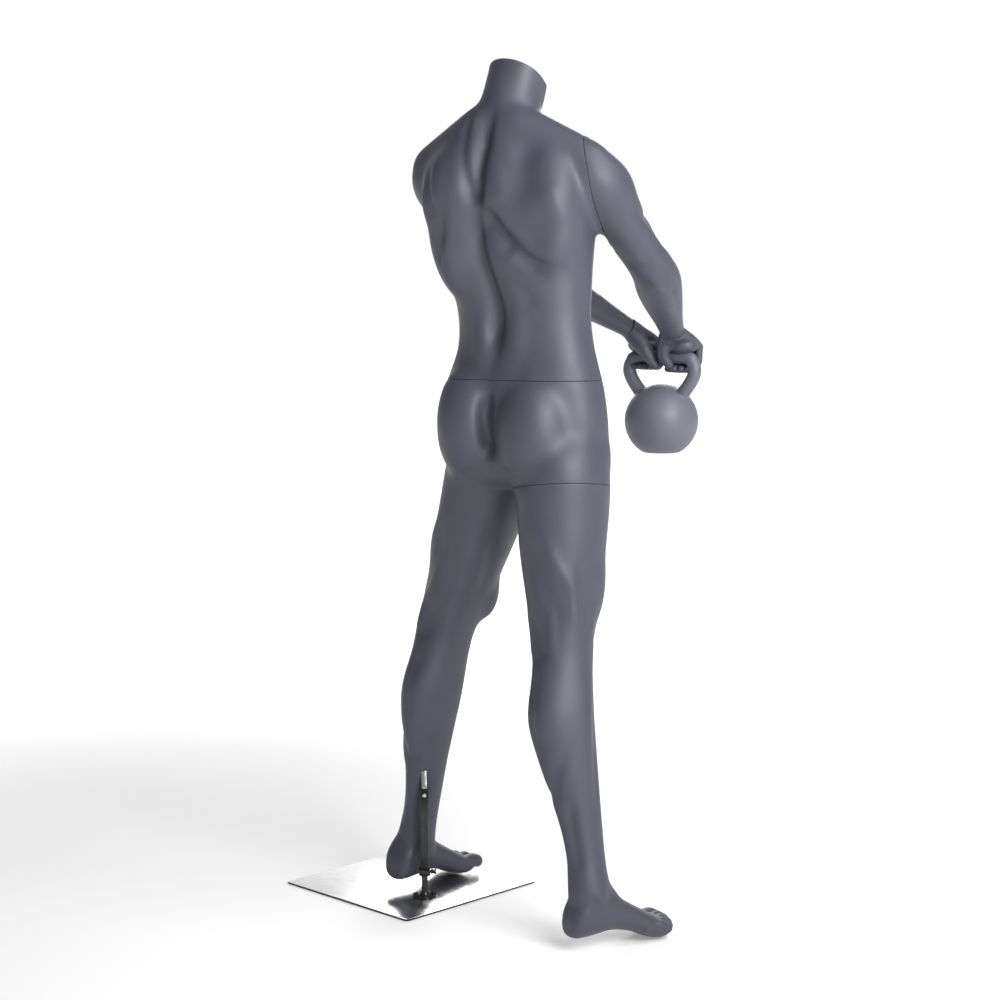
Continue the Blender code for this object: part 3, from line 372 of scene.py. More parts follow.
def add_foot(bm, heel, toe_out, lift, side):
    """heel is the back of the heel on the floor; the sole rises to a shoe-ready heel."""
    heel, ahead, out = foot_axes(heel, toe_out, lift, side)
    profile = (  # distance from the heel, underside, top, half-width, sideways shift outwards
        (0.002, 0.030, 0.060, 0.018, 0.000),
        (0.010, 0.0245, 0.082, 0.028, 0.000),
        (0.024, 0.0235, 0.104, 0.034, 0.000),
        (0.050, 0.024, 0.120, 0.036, 0.000),
        (0.088, 0.028, 0.101, 0.036, 0.001),
        (0.130, 0.020, 0.075, 0.040, 0.002),
        (0.162, 0.006, 0.056, 0.045, 0.002),
        (0.186, -0.001, 0.043, 0.047, 0.002),
        (0.202, 0.002, 0.034, 0.045, 0.002),
        (0.212, 0.008, 0.027, 0.038, 0.001),
    )
    rings = []
    for s, low, high, half, shift in through(profile, 3):
        mid = heel + ahead * s + out * shift + Vector((0, 0, (low + high) / 2))
        tall = (high - low) / 2
        rings.append(ring(mid, out, Vector((0, 0, 1)), (half, half, tall, tall), 32, 2.4))
    skin(bm, rings)
    bar(bm, heel + ahead * 0.068 + Vector((0, 0, 0.118)), heel + ahead * 0.097 + Vector((0, 0, 0.078)), 0.022, 0.021)
    for across, reach, radius in TOES:
        root = heel + ahead * (reach - 0.056) + out * across * 0.92 + Vector((0, 0, 0.025))
        knuckle = heel + ahead * (reach - 0.027) + out * across + Vector((0, 0, 0.0405 - radius))
        tip = heel + ahead * (reach - radius) + out * across + Vector((0, 0, 0.018 + radius * 0.2))
        bar(bm, root, knuckle, radius * 0.95, radius)
        bar(bm, knuckle, tip, radius * 0.98, radius)


def add_arm(bm, shoulder, elbow, wrist, back):
    """back points out of the elbow."""
    s, e, w = Vector(shoulder), Vector(elbow), Vector(wrist)
    front = -Vector(back)
    limb(bm, (
        (*(s + (e - s) * -0.02), 0.050, 0.050, 0.052, 0.052),
        (*between(s, e, 0.22), 0.055, 0.055, 0.056, 0.056),
        (*between(s, e, 0.48), 0.047, 0.047, 0.052, 0.052),
        (*between(s, e, 0.75), 0.043, 0.043, 0.047, 0.047),
        (*between(s, e, 0.97), 0.044, 0.044, 0.040, 0.042),
        (*between(e, w, 0.22), 0.047, 0.047, 0.042, 0.042),
        (*between(e, w, 0.48), 0.041, 0.041, 0.037, 0.037),
        (*between(e, w, 0.78), 0.032, 0.032, 0.027, 0.027),
        (*w, 0.0285, 0.0285, 0.0215, 0.0215),
        (*between(e, w, 1.10), 0.0285, 0.0285, 0.021, 0.021),
    ), front, steps=3)
    mass(bm, s + (e - s) * 0.12, (0.062, 0.060, 0.088), e - s, front)
    mass(bm, s + (e - s) * 0.45 + front * 0.016, (0.038, 0.038, 0.078), e - s, front)
    mass(bm, s + (e - s) * 0.48 - front * 0.018, (0.040, 0.038, 0.090), e - s, front)


def figure_forms():
    bm = bmesh.new()
    add_trunk(bm)
    add_leg(bm, HIP_R, KNEE_R, ANKLE_R, 12, 1)
    add_leg(bm, HIP_L, KNEE_L, ANKLE_L, 5, -1)
    for foot in FEET:
        add_foot(bm, *foot)
    add_arm(bm, SHOULDER_R, ELBOW_R, WRIST_R, (-0.55, 0.55, -0.4))
    add_arm(bm, SHOULDER_L, ELBOW_L, WRIST_L, (0.55, 0.35, -0.6))
    return bm


# ---- sculpting: the skin as arrays --------------------------------------------------------------

def object_of(name, bm):
    mesh = bpy.data.meshes.new(name)
    bm.to_mesh(mesh)
    bm.free()
    obj = bpy.data.objects.new(name, mesh)
    bpy.context.scene.collection.objects.link(obj)
    return obj


def melted(name, bm, voxel):
    """Overlapping forms made one skin of small squares."""
    obj = object_of(name, bm)
    remesh = obj.modifiers.new("melt", "REMESH")
    remesh.mode, remesh.voxel_size = "VOXEL", voxel
    bpy.context.view_layer.update()
    mesh = bpy.data.meshes.new_from_object(obj.evaluated_get(bpy.context.evaluated_depsgraph_get()))
    bpy.data.objects.remove(obj)
    return mesh


class Clay:
    """A mesh held as arrays while it is smoothed and pressed."""

    def __init__(self, mesh):
        self.mesh = mesh
        self.points = np.empty(len(mesh.vertices) * 3)
        mesh.vertices.foreach_get("co", self.points)
        self.points = self.points.reshape(-1, 3)
        self.ends = np.empty(len(mesh.edges) * 2, np.int64)
        mesh.edges.foreach_get("vertices", self.ends)
        self.ends = self.ends.reshape(-1, 2)
        self.count = np.bincount(self.ends.ravel(), minlength=len(self.points))[:, None]

    def soften(self, rounds, weight=1.0):
        """Pull each point towards its neighbours' mean."""
        a, b, n = self.ends[:, 0], self.ends[:, 1], len(self.points)
        for _ in range(rounds):
            total = np.stack([np.bincount(a, self.points[b, k], n) + np.bincount(b, self.points[a, k], n)
                              for k in range(3)], 1)
            self.points += 0.5 * weight * (total / self.count - self.points)

    def normals(self):
        self.store()
        out = np.empty(len(self.points) * 3)
        self.mesh.vertices.foreach_get("normal", out)
        return out.reshape(-1, 3)

    def store(self):
        self.mesh.vertices.foreach_set("co", self.points.ravel())
        self.mesh.update()

    def press(self, path, width, depth, lean=0.0):
        """Sink (depth over 0) or raise a soft channel along a path; a long one fades out at its ends.
        With a lean the wall on the path's left, seen from outside, is the steeper."""
        path = np.array(path, float)
        reach = 3 * width * math.exp(abs(lean))
        low, high = path.min(0) - reach, path.max(0) + reach
        near = np.nonzero(((self.points > low) & (self.points < high)).all(1))[0]
        if not len(near):
            return
        p, unit = self.points[near], self.unit[near]
        runs = np.linalg.norm(np.diff(path, axis=0), axis=1)
        total = runs.sum()
        best, along, beside = np.full(len(p), 1e9), np.zeros(len(p)), np.zeros(len(p))
        for k, run in enumerate(runs):
            if run < 1e-6:
                continue
            a, d = path[k], (path[k + 1] - path[k]) / run
            t = np.clip((p - a) @ d, 0, run)
            off = p - a - t[:, None] * d
            gap = np.linalg.norm(off, axis=1)
            closer = gap < best
            best[closer] = gap[closer]
            along[closer] = (runs[:k].sum() + t[closer]) / total
            beside[closer] = (off * np.cross(unit, d)).sum(1)[closer]
        fade = np.clip(np.minimum(along, 1 - along) * 4, 0, 1)
        fade = 0.15 + 0.85 * fade * fade * (3 - 2 * fade) if total > 4 * width else 1.0
        wide = width * np.exp(-lean * np.tanh(beside / width))
        self.points[near] -= unit * (depth * np.exp(-(best / wide) ** 2) * fade)[:, None]

    def refresh(self):
        self.unit = self.normals()


def torso_frame(points):
    """u, v and z of points in the trunk's own turning frame."""
    rows = np.array([r[:4] for r in TRUNK])
    turn, x, y = (np.interp(points[:, 2], rows[:, 0], rows[:, k]) for k in (1, 2, 3))
    a = np.radians(turn)
    dx, dy = points[:, 0] - x, points[:, 1] - y
    return -np.cos(a) * dx - np.sin(a) * dy, np.sin(a) * dx - np.cos(a) * dy, points[:, 2]


def on_torso(clay, pairs, back=True):
    """Skin points at each (u, z) on the back or the front."""
    u, v, z = clay.torso
    keep = np.nonzero((v < 0) if back else (v > 0))[0]
    out = []
    for uu, zz in pairs:
        k = keep[((u[keep] - uu) ** 2 + (z[keep] - zz) ** 2).argmin()]
        out.append(clay.points[k])
    return curve_of(out)


def on_limb(clay, joints, front, pairs, reach=0.13):
    """Skin points at each (t, angle): t runs 0 to 1 to the second joint and on to 2; angle 0 is the
    front, 90 the figure's right, 180 the back."""
    joints = [np.array(j, float) for j in joints]
    out = []
    for t, angle in pairs:
        k = min(int(t), len(joints) - 2)
        a, b = joints[k], joints[k + 1]
        axis = (b - a) / np.linalg.norm(b - a)
        centre = a + (b - a) * (t - k)
        f = np.array(front, float)
        f = f - axis * (f @ axis)
        f /= np.linalg.norm(f)
        r = np.cross(axis, f)
        d = f * math.cos(math.radians(angle)) + r * math.sin(math.radians(angle))
        q = clay.points - centre
        s = q @ axis
        radial = q - s[:, None] * axis
        size = np.linalg.norm(radial, axis=1)
        toward = radial @ d
        cost = s ** 2 + (size - toward) ** 2 + np.where((size > reach) | (toward < 0), 1.0, 0.0)
        out.append(clay.points[cost.argmin()])
    return curve_of(out)


def curve_of(points):
    return np.array(through(points, 6)) if len(points) > 2 else np.array(points)


def both(lines):
    """Lines for one side of the trunk, and the same for the other."""
    return lines + tuple((tuple((-u, z) for u, z in line), width, depth) for line, width, depth in lines)


# (u, z) along each channel, its half-width, its depth (under 0 raises a ridge) and its lean
BACK_LINES = (
    (((-0.034, 1.372), (-0.036, 1.330), (-0.034, 1.280), (-0.022, 1.230), (-0.010, 1.180), (-0.008, 1.120),
      (-0.014, 1.070)), 0.028, 0.0130, 0.1),
    (((-0.004, 1.500), (-0.012, 1.450), (-0.024, 1.400), (-0.032, 1.350)), 0.021, 0.0085, 0.2),
    (((-0.026, 1.340), (0.010, 1.300), (0.044, 1.268)), 0.021, 0.0070, 0.2),
    (((-0.021, 1.010), (-0.022, 0.950), (-0.020, 0.890)), 0.022, 0.0060, 0),
    (((-0.034, 1.548), (-0.047, 1.509), (-0.050, 1.470), (-0.048, 1.429), (-0.047, 1.393), (-0.041, 1.352)),
     0.009, 0.0070, 0.3),
    (((0.002, 1.535), (-0.004, 1.505), (-0.010, 1.457), (-0.017, 1.422), (-0.026, 1.384), (-0.031, 1.340)),
     0.014, 0.0155, 0.45),
    (((-0.032, 1.376), (-0.040, 1.330), (-0.041, 1.290), (-0.033, 1.250), (-0.019, 1.200), (-0.007, 1.156),
      (-0.008, 1.120), (-0.012, 1.088), (-0.016, 1.052)), 0.017, 0.0150, 0.35),
    (((-0.032, 1.362), (-0.014, 1.344), (0.000, 1.328), (0.018, 1.307), (0.039, 1.282), (0.062, 1.258),
      (0.092, 1.243), (0.120, 1.240)), 0.015, 0.0130, 0.4),
    (((-0.014, 1.234), (0.010, 1.228), (0.036, 1.212), (0.060, 1.188), (0.076, 1.160)), 0.016, 0.0045, 0.1),
    (((-0.098, 1.372), (-0.105, 1.330), (-0.115, 1.298), (-0.121, 1.262), (-0.118, 1.232)), 0.013, 0.0085, 0.3),
    (((-0.127, 1.440), (-0.131, 1.400), (-0.128, 1.360), (-0.120, 1.325)), 0.014, 0.0070, 0.2),
    (((-0.020, 1.024), (-0.022, 0.996), (-0.022, 0.954), (-0.021, 0.910), (-0.018, 0.872)), 0.012, 0.0150, 0),
    (((0.070, 1.440), (0.072, 1.400)), 0.028, 0.0060, 0),
    (((0.118, 1.372), (0.126, 1.345)), 0.024, -0.0050, 0),
    (((0.012, 1.440), (0.022, 1.390), (0.020, 1.355)), 0.014, -0.0030, 0),
    (((0.016, 0.868), (0.048, 0.852), (0.090, 0.850)), 0.013, 0.0040, 0),
    (((-0.050, 0.868), (-0.080, 0.852), (-0.120, 0.850)), 0.013, 0.0040, 0),
    (((0.140, 0.985), (0.142, 0.950)), 0.034, 0.0030, 0),
    (((-0.150, 0.985), (-0.152, 0.950)), 0.034, 0.0030, 0),
    (((0.045, 1.050), (0.047, 1.046)), 0.014, 0.0020, 0),
    (((-0.078, 1.050), (-0.080, 1.046)), 0.014, 0.0020, 0),
)
FRONT_LINES = both((
    (((0.004, 1.440), (0.002, 1.380), (0.003, 1.300)), 0.009, 0.0030),
    (((0.012, 1.300), (0.070, 1.282), (0.118, 1.302), (0.138, 1.345)), 0.010, 0.0055),
    (((0.003, 1.285), (0.003, 1.200), (0.003, 1.070)), 0.008, 0.0020),
    (((0.010, 1.238), (0.050, 1.244)), 0.007, 0.0030),
    (((0.010, 1.190), (0.052, 1.194)), 0.007, 0.0030),
    (((0.010, 1.142), (0.052, 1.140)), 0.007, 0.0025),
    (((0.060, 1.270), (0.066, 1.190), (0.062, 1.110), (0.046, 1.040)), 0.010, 0.0045),
    (((0.138, 1.045), (0.105, 0.995), (0.060, 0.945), (0.030, 0.915)), 0.011, 0.0050),
    (((0.014, 1.452), (0.050, 1.458), (0.092, 1.470), (0.128, 1.472)), 0.007, -0.0045),
    (((0.050, 1.482), (0.085, 1.490)), 0.012, 0.0050),
    (((0.012, 1.462), (0.030, 1.505), (0.048, 1.560), (0.054, 1.610)), 0.009, -0.0040),
    (((0.098, 1.268), (0.112, 1.240)), 0.009, 0.0030),
    (((0.102, 1.232), (0.118, 1.204)), 0.009, 0.0030),
)) + (
    (((0.0, 1.462), (0.0, 1.458)), 0.013, 0.0060),
    (((0.0, 1.117), (0.0, 1.112)), 0.0055, 0.0070),
    (((0.0, 0.905), (0.0, 0.870)), 0.032, -0.0100),
)
# (t, angle) along a leg: t is 0 at the hip, 1 at the knee, 2 at the ankle; angles run to the outer side
LEG_LINES = (
    (((0.44, 150), (0.61, 129), (0.73, 111), (0.86, 105), (0.98, 105)), 0.013, -0.0045),
    (((0.58, 96), (0.74, 90), (0.88, 88)), 0.012, 0.0040),
    (((0.48, 174), (0.66, 158), (0.80, 143), (0.94, 138)), 0.016, 0.0050),
    (((0.34, 205), (0.61, 211), (0.84, 220), (1.05, 228)), 0.018, -0.0030),
    (((0.34, 237), (0.58, 252), (0.80, 262)), 0.015, 0.0045),
    (((0.93, 180), (1.04, 180)), 0.018, 0.0060),
    (((0.80, 152), (0.92, 148), (1.06, 148)), 0.009, -0.0030),
    (((0.80, 208), (0.92, 212), (1.06, 213)), 0.009, -0.0030),
    (((1.10, 180), (1.28, 180), (1.44, 182)), 0.012, 0.0045),
    (((1.44, 222), (1.58, 200), (1.62, 180), (1.54, 160), (1.42, 140)), 0.012, 0.0045),
    (((1.62, 146), (1.78, 148), (1.94, 146)), 0.011, 0.0055),
    (((1.62, 214), (1.78, 212), (1.94, 214)), 0.011, 0.0055),
    (((0.40, 20), (0.62, 10), (0.80, 4)), 0.011, 0.0035),
    (((0.86, 335), (0.94, 322), (1.03, 330), (1.06, 0), (1.03, 30), (0.94, 38), (0.86, 25)), 0.009, 0.0045),
    (((0.74, 60), (0.86, 62), (0.93, 52)), 0.011, 0.0040),
    (((1.10, 4), (1.40, 356), (1.84, 350)), 0.008, -0.0030),
    (((1.20, 60), (1.45, 66), (1.75, 76)), 0.012, 0.0045),
    (((1.22, 318), (1.45, 312), (1.70, 305)), 0.012, 0.0035),
)
ARM_LINES = (
    (((0.34, 128), (0.48, 108), (0.56, 90), (0.50, 72), (0.34, 50), (0.18, 34)), 0.012, 0.0060),
    (((0.52, 92), (0.72, 84), (0.90, 72)), 0.011, 0.0050),
    (((0.30, 268), (0.60, 270), (0.86, 282)), 0.011, 0.0045),
    (((0.62, 150), (0.74, 168), (0.82, 180), (0.76, 196), (0.64, 212)), 0.012, 0.0040),
    (((0.99, 180), (1.01, 180)), 0.012, -0.0050),
    (((1.04, 150), (1.30, 140), (1.60, 132)), 0.011, 0.0045),
    (((0.98, 60), (1.10, 64), (1.30, 72)), 0.014, -0.0030),
    (((1.06, 20), (1.30, 30), (1.60, 40)), 0.011, 0.0035),
    (((0.96, 0), (0.99, 24)), 0.009, 0.0035),
    (((0.96, 0), (0.99, 336)), 0.009, 0.0035),
)


def sculpted_figure():
    """The melted forms with the muscles' relief pressed in."""
    clay = Clay(melted("figure_forms", figure_forms(), SKIN_VOXEL))
    low = np.clip((clay.points[:, 2:] - 0.075) / 0.06, 0.05, 1.0)
    clay.soften(round(26 * (0.0055 / SKIN_VOXEL) ** 2), low)
    clay.refresh()
    clay.torso = torso_frame(clay.points)
    for line, width, depth, lean in BACK_LINES:
        clay.press(on_torso(clay, line), width, depth, lean)
    for line, width, depth in FRONT_LINES:
        clay.press(on_torso(clay, line, back=False), width, depth)
    legs = (((HIP_R, KNEE_R, ANKLE_R), 12, 1), ((HIP_L, KNEE_L, ANKLE_L), 5, -1))
    for joints, out, side in legs:
        front = (math.sin(math.radians(out)) * -side, -1, 0)
        for line, width, depth in LEG_LINES:
            clay.press(on_limb(clay, joints, front, [(t, a * side) for t, a in line]), width, depth)
    arms = (((SHOULDER_R, ELBOW_R, WRIST_R), (0.55, -0.55, 0.4), 1),
            ((SHOULDER_L, ELBOW_L, WRIST_L), (-0.55, -0.35, 0.6), -1))
    for joints, front, side in arms:
        for line, width, depth in ARM_LINES:
            clay.press(on_limb(clay, joints, front, [(t, a * side) for t, a in line], 0.09), width, depth)
    clay.soften(round(3 * (0.0055 / SKIN_VOXEL) ** 2), low)
    clay.refresh()
    for foot in FEET:
        heel, ahead, out = foot_axes(*foot)
        for (x0, reach0, r0), (x1, reach1, r1) in zip(TOES, TOES[1:]):
            gap, reach = (x0 + r0 + x1 - r1) / 2, (reach0 + reach1) / 2
            clay.press([heel + ahead * (reach - back) + out * gap + Vector((0, 0, z))
                        for back, z in ((0.052, 0.034), (0.026, 0.032), (0.012, 0.024))], 0.0030, 0.0060)
    clay.store()
    return clay


# ---- sections: cut the skin at the seams and close each end --------------------------------------

SEAMS = dict(   # a point in the plane, its normal away from the trunk, the reach of its rim
    waist=(Vector(WAIST), Vector((0, 0, 1)), 0.240),
    thigh=(Vector((-0.398, -0.016, 0.838)), (Vector(KNEE_R) - Vector(HIP_R)).normalized(), 0.122),
    shoulder_r=(Vector(SHOULDER_R) + Vector((0, 0, -0.006)), tilted(32, 10, 1), 0.150),
    shoulder_l=(Vector((-0.094, -0.052, 1.374)), tilted(-40, -10, -1), 0.145),
    wrist_r=(Vector(WRIST_R), (Vector(WRIST_R) - Vector(ELBOW_R)).normalized(), 0.060),
    wrist_l=(Vector(WRIST_L), (Vector(WRIST_L) - Vector(ELBOW_L)).normalized(), 0.060),
)
# board thickness, well radius and depth on the first side and on the second
FITTINGS = dict(
    waist=(0.009, (0.037, 0.020), (0.037, 0.066)), thigh=(0.006, (0.027, 0.018), (0.027, 0.054)),
    shoulder_r=(0.006, (0.020, 0.018), (0.020, 0.040)), shoulder_l=(0.006, (0.020, 0.018), (0.020, 0.040)),
    wrist_r=(0, (0.0095, 0.0048), (0.0095, 0.0048)), wrist_l=(0, (0.0095, 0.0048), (0.0095, 0.0048)),
)


def seam_strip(bm, clay, centre, normal):
    """The strip of faces round the seam's own limb."""
    above = (clay.points - np.array(centre)) @ np.array(normal) > 0
    cut_edges = np.nonzero(above[clay.ends[:, 0]] != above[clay.ends[:, 1]])[0]
    crossing = {bm.edges[i] for i in cut_edges}
    strips = []
    while crossing:
        pile, strip = [crossing.pop()], set()
        while pile:
            for face in pile.pop().link_faces:
                strip.add(face)
                more = set(face.edges) & crossing
                crossing -= more
                pile += more
        middle = sum((f.calc_center_median() for f in strip), Vector()) / len(strip)
        strips.append(((middle - centre).length, len(strips), strip))
    return min(strips)[2]


def island(start):
    seen, pile = {start}, [start]
    while pile:
        for edge in pile.pop().link_edges:
            for vert in edge.verts:
                if vert not in seen:
                    seen.add(vert)
                    pile.append(vert)
    return seen


def sections(clay, seeds):
    bm = bmesh.new()
    bm.from_mesh(clay.mesh)
    bm.edges.ensure_lookup_table()
    strips = {name: seam_strip(bm, clay, c, n) for name, (c, n, _) in SEAMS.items()}
    for name, (centre, normal, _) in SEAMS.items():
        strip = strips[name]
        for v in {v for f in strip for v in f.verts}:
            off = (v.co - centre).dot(normal)
            if abs(off) < 0.0004:
                v.co -= normal * off
        geom = list({g for f in strip for g in (*f.verts, *f.edges)}) + list(strip)
        out = bmesh.ops.bisect_plane(bm, geom=geom, dist=1e-6, plane_co=centre, plane_no=normal)
        bmesh.ops.split_edges(bm, edges=[g for g in out["geom_cut"] if isinstance(g, bmesh.types.BMEdge)])
    bm.verts.ensure_lookup_table()
    points = np.array([v.co for v in bm.verts])
    parts = {}
    for name, seed in seeds.items():
        start = bm.verts[int(((points - np.array(seed)) ** 2).sum(1).argmin())]
        group = island(start)
        part = bmesh.new()
        twin = {v: part.verts.new(v.co) for v in group}
        for face in {f for v in group for f in v.link_faces}:
            part.faces.new([twin[v] for v in face.verts])
        parts[name] = part
    bm.free()
    return parts


def rim_of(bm, centre, normal, radius):
    """The open loop that lies in this plane, in order."""
    edges = {e for e in bm.edges if e.is_boundary
             and all(abs((v.co - centre).dot(normal)) < 4e-5 and (v.co - centre).length < radius
                     for v in e.verts)}
    if not edges:
        return []
    first = next(iter(edges))
    edges.discard(first)
    loop = [first.verts[0], first.verts[1]]
    while True:
        step = next((e for e in loop[-1].link_edges if e in edges), None)
        if step is None:
            break
        edges.discard(step)
        loop.append(step.other_vert(loop[-1]))
    return loop[:-1]


def draw_back(loop, centre, normal, gap, reach=0.009):
    """Shift the skin near its open end back by the gap, less the further in it lies."""
    near, edge_of = set(loop), set(loop)
    for _ in range(6):
        edge_of = {e.other_vert(v) for v in edge_of for e in v.link_edges} - near
        near |= edge_of
    for v in near:
        d = (v.co - centre).dot(normal)
        if d > -reach:
            v.co -= normal * gap * (1 + d / reach)


def joined_rings(bm, a, b):
    n = len(a)
    return [bm.faces.new((a[k], a[(k + 1) % n], b[(k + 1) % n], b[k])) for k in range(n)]


def close_end(bm, loop, normal, rim, wall=0.0, seat=0.0, well=None, middle=None):
    """Round the edge, then a flat cut face; with a wall, a seat for the bulkhead; and a well for its fitting.
    normal points out of the section."""
    bm.normal_update()
    n = len(loop)
    points = [v.co.copy() for v in loop]
    centre = sum(points, Vector()) / n
    outs = [((points[(k + 1) % n] - points[k - 1]).cross(normal)).normalized() for k in range(n)]
    if sum(o.dot(p - centre) for o, p in zip(outs, points)) < 0:
        outs = [-o for o in outs]
    for _ in range(6):
        outs = [(outs[k - 1] + outs[k] * 2 + outs[(k + 1) % n]).normalized() for k in range(n)]
    slopes = []
    for k, v in enumerate(loop):
        lean = v.normal.dot(normal) / max(v.normal.dot(outs[k]), 0.3)
        slopes.append(max(min(lean, 0.0), -1.0))
    for _ in range(6):
        slopes = [(slopes[k - 1] + slopes[k] * 2 + slopes[(k + 1) % n]) / 4 for k in range(n)]

    def ring_at(inset, rise, lean=0.0):
        return [bm.verts.new(p - o * inset + normal * rise + o * s * lean)
                for p, o, s in zip(points, outs, slopes)]

    steps = [(rim * (1 - math.cos(a)), rim * math.sin(a)) for a in (math.pi / 6, math.pi / 3, math.pi / 2)]
    if wall:
        steps += [(wall, rim), (wall + 0.0003, rim - 0.0003)]
    last = loop
    for inset, rise in steps:
        now = ring_at(inset, rise)
        joined_rings(bm, last, now)
        last = now
    if wall:
        now = ring_at(wall + 0.0003, rim - seat, seat)
        joined_rings(bm, last, now)
        last = now
    if well is None:
        hub = bm.verts.new(sum((v.co for v in last), Vector()) / n)
        for k in range(n):
            bm.faces.new((last[k], last[(k + 1) % n], hub))
        return
    radius, depth = well
    level = (last[0].co - middle).dot(normal)
    across = normal.orthogonal().normalized()
    up = normal.cross(across)
    spots = [across * math.cos(2 * math.pi * k / 48) + up * math.sin(2 * math.pi * k / 48) for k in range(48)]
    mouth = [bm.verts.new(middle + s * radius + normal * level) for s in spots]
    floor = [bm.verts.new(middle + s * radius + normal * (level - depth)) for s in spots]
    edges = [bm.edges.get((last[k - 1], last[k])) or bm.edges.new((last[k - 1], last[k])) for k in range(n)]
    edges += [bm.edges.new((mouth[k - 1], mouth[k])) for k in range(48)]
    bmesh.ops.triangle_fill(bm, edges=edges, use_beauty=True, normal=normal)
    joined_rings(bm, mouth, floor)
    bm.faces.new(floor)


def fitted_board(node, body, skin, centre, normal):
    """The frame's bulkhead, drawn in wherever the sculpted skin round it stands further in."""
    bm = bmesh.new()
    bm.from_mesh(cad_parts[node].data)
    for v in bm.verts:
        inward = centre - v.co
        inward = (inward - normal * inward.dot(normal)).normalized()
        for _ in range(80):
            near, facing, _, depth = skin.find_nearest(v.co)
            if depth > WALL + 0.0004 and (v.co - near).dot(facing) < 0:
                break
            v.co += inward * 0.0004
    piece(node + "_sheet", bm, "ply", body, "bulkhead_wood", node)


# ---- pieces -------------------------------------------------------------------------------------

def piece(name, bm, look, body, slot, *nodes, sharp=34, weld=0.0):
    """The bmesh as a finished piece: closed, outward, smooth up to an angle, on its body."""
    if weld:
        bmesh.ops.remove_doubles(bm, verts=bm.verts, dist=weld)
    bmesh.ops.recalc_face_normals(bm, faces=bm.faces)
    for face in bm.faces:
        face.smooth = True
    obj = object_of(name, bm)
    obj.data.set_sharp_from_angle(angle=math.radians(sharp))
    obj.data.materials.append(LOOK[look])
    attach(obj, body)
    if nodes:
        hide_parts(*nodes)
    return obj


def shell_pieces():
    clay = sculpted_figure()
    tilt = math.radians(NECK_TILT)
    up = Vector((0, -math.sin(tilt), math.cos(tilt)))
    seeds = dict(torso=(-0.266, -0.08, 1.55), pelvis_left_leg=KNEE_L, leg_right=KNEE_R,
                 arm_right=between(ELBOW_R, WRIST_R, 0.7), arm_left=between(ELBOW_L, WRIST_L, 0.7))
    bodies = dict(torso="upper_body", pelvis_left_leg="lower_body", leg_right="right_leg",
                  arm_right="right_arm", arm_left="left_arm")
    for name, bm in sections(clay, seeds).items():
        if name == "torso":
            geom = bm.verts[:] + bm.edges[:] + bm.faces[:]
            bmesh.ops.bisect_plane(bm, geom=geom, dist=1e-6, plane_co=NECK_CUT, plane_no=up, clear_outer=True)
            loop = rim_of(bm, NECK_CUT, up, 0.2)
            draw_back(loop, NECK_CUT, up, 0.0022, 0.012)
            close_end(bm, loop, up, 0.0022)
        seed = Vector(seeds[name])
        for seam, (centre, normal, radius) in SEAMS.items():
            loop = rim_of(bm, centre, normal, radius)
            if not loop:
                continue
            side = SIDES[seam].index(name)
            away = -normal if side else normal
            board, *wells = FITTINGS[seam]
            draw_back(loop, centre, away, SEAM + RIM)
            if board:
                skin = BVHTree.FromBMesh(bm)
                fitted_board(f"{seam}_board_{name.split('_')[0]}", bodies[name], skin, centre, away)
            close_end(bm, loop, away, RIM, WALL if board else 0, board + 0.0006 if board else 0,
                      wells[side], centre)
        if name in ("pelvis_left_leg", "leg_right"):
            add_toenails(bm, name == "leg_right")
        piece(name + "_shell", bm, "shell", bodies[name], "shell_paint", name)


SIDES = dict(waist=("pelvis_left_leg", "torso"), thigh=("pelvis_left_leg", "leg_right"),
             shoulder_r=("torso", "arm_right"), shoulder_l=("torso", "arm_left"),
             wrist_r=("arm_right", "hand"), wrist_l=("arm_left", "hand"))


def add_toenails(bm, right):
    """Thin rounded plates let into the tips of the toes."""
    heel, ahead, out = foot_axes(*FEET[0 if right else 1])
    for across, reach, radius in TOES:
        at = heel + ahead * (reach - radius * 0.95) + out * across + Vector((0, 0, 0.018 + radius * 1.03))
        lean = (Vector((0, 0, 1)) + ahead * 0.55).normalized()
        mass(bm, at, (radius * 0.60, radius * 0.62, radius * 0.16), lean, ahead)


# ---- hands and kettlebell -----------------------------------------------------------------------

def grip_point(s, f, z):
    """From the middle of the handle's bar: s to the figure's right along it, f forward, z up."""
    along, ahead = heading(BAR_TURN)
    return BELL + Vector((0, 0, BAR_RISE)) + along * s + ahead * f + Vector((0, 0, z))


def add_handle(bm, radius, foot):
    """The kettlebell's handle as a bent tube, a little wider where it meets the ball."""
    along, _ = heading(BAR_TURN)
    half = list(BAR_PATH)
    path = through(half + [(-s, z) for s, z in half[::-1]], 8)
    pts = [BELL + along * s + Vector((0, 0, z)) for s, z in path]
    side = along.cross(Vector((0, 0, 1)))
    rings = []
    for i, p in enumerate(pts):
        t = (pts[min(i + 1, len(pts) - 1)] - pts[max(i - 1, 0)]).normalized()
        low = max(0.0, 1 - (p.z - BELL.z - 0.045) / 0.030)
        rings.append(ring(p, t.cross(side), side, (radius + foot * min(low, 1.4) ** 2,) * 4, 40))
    skin(bm, rings)


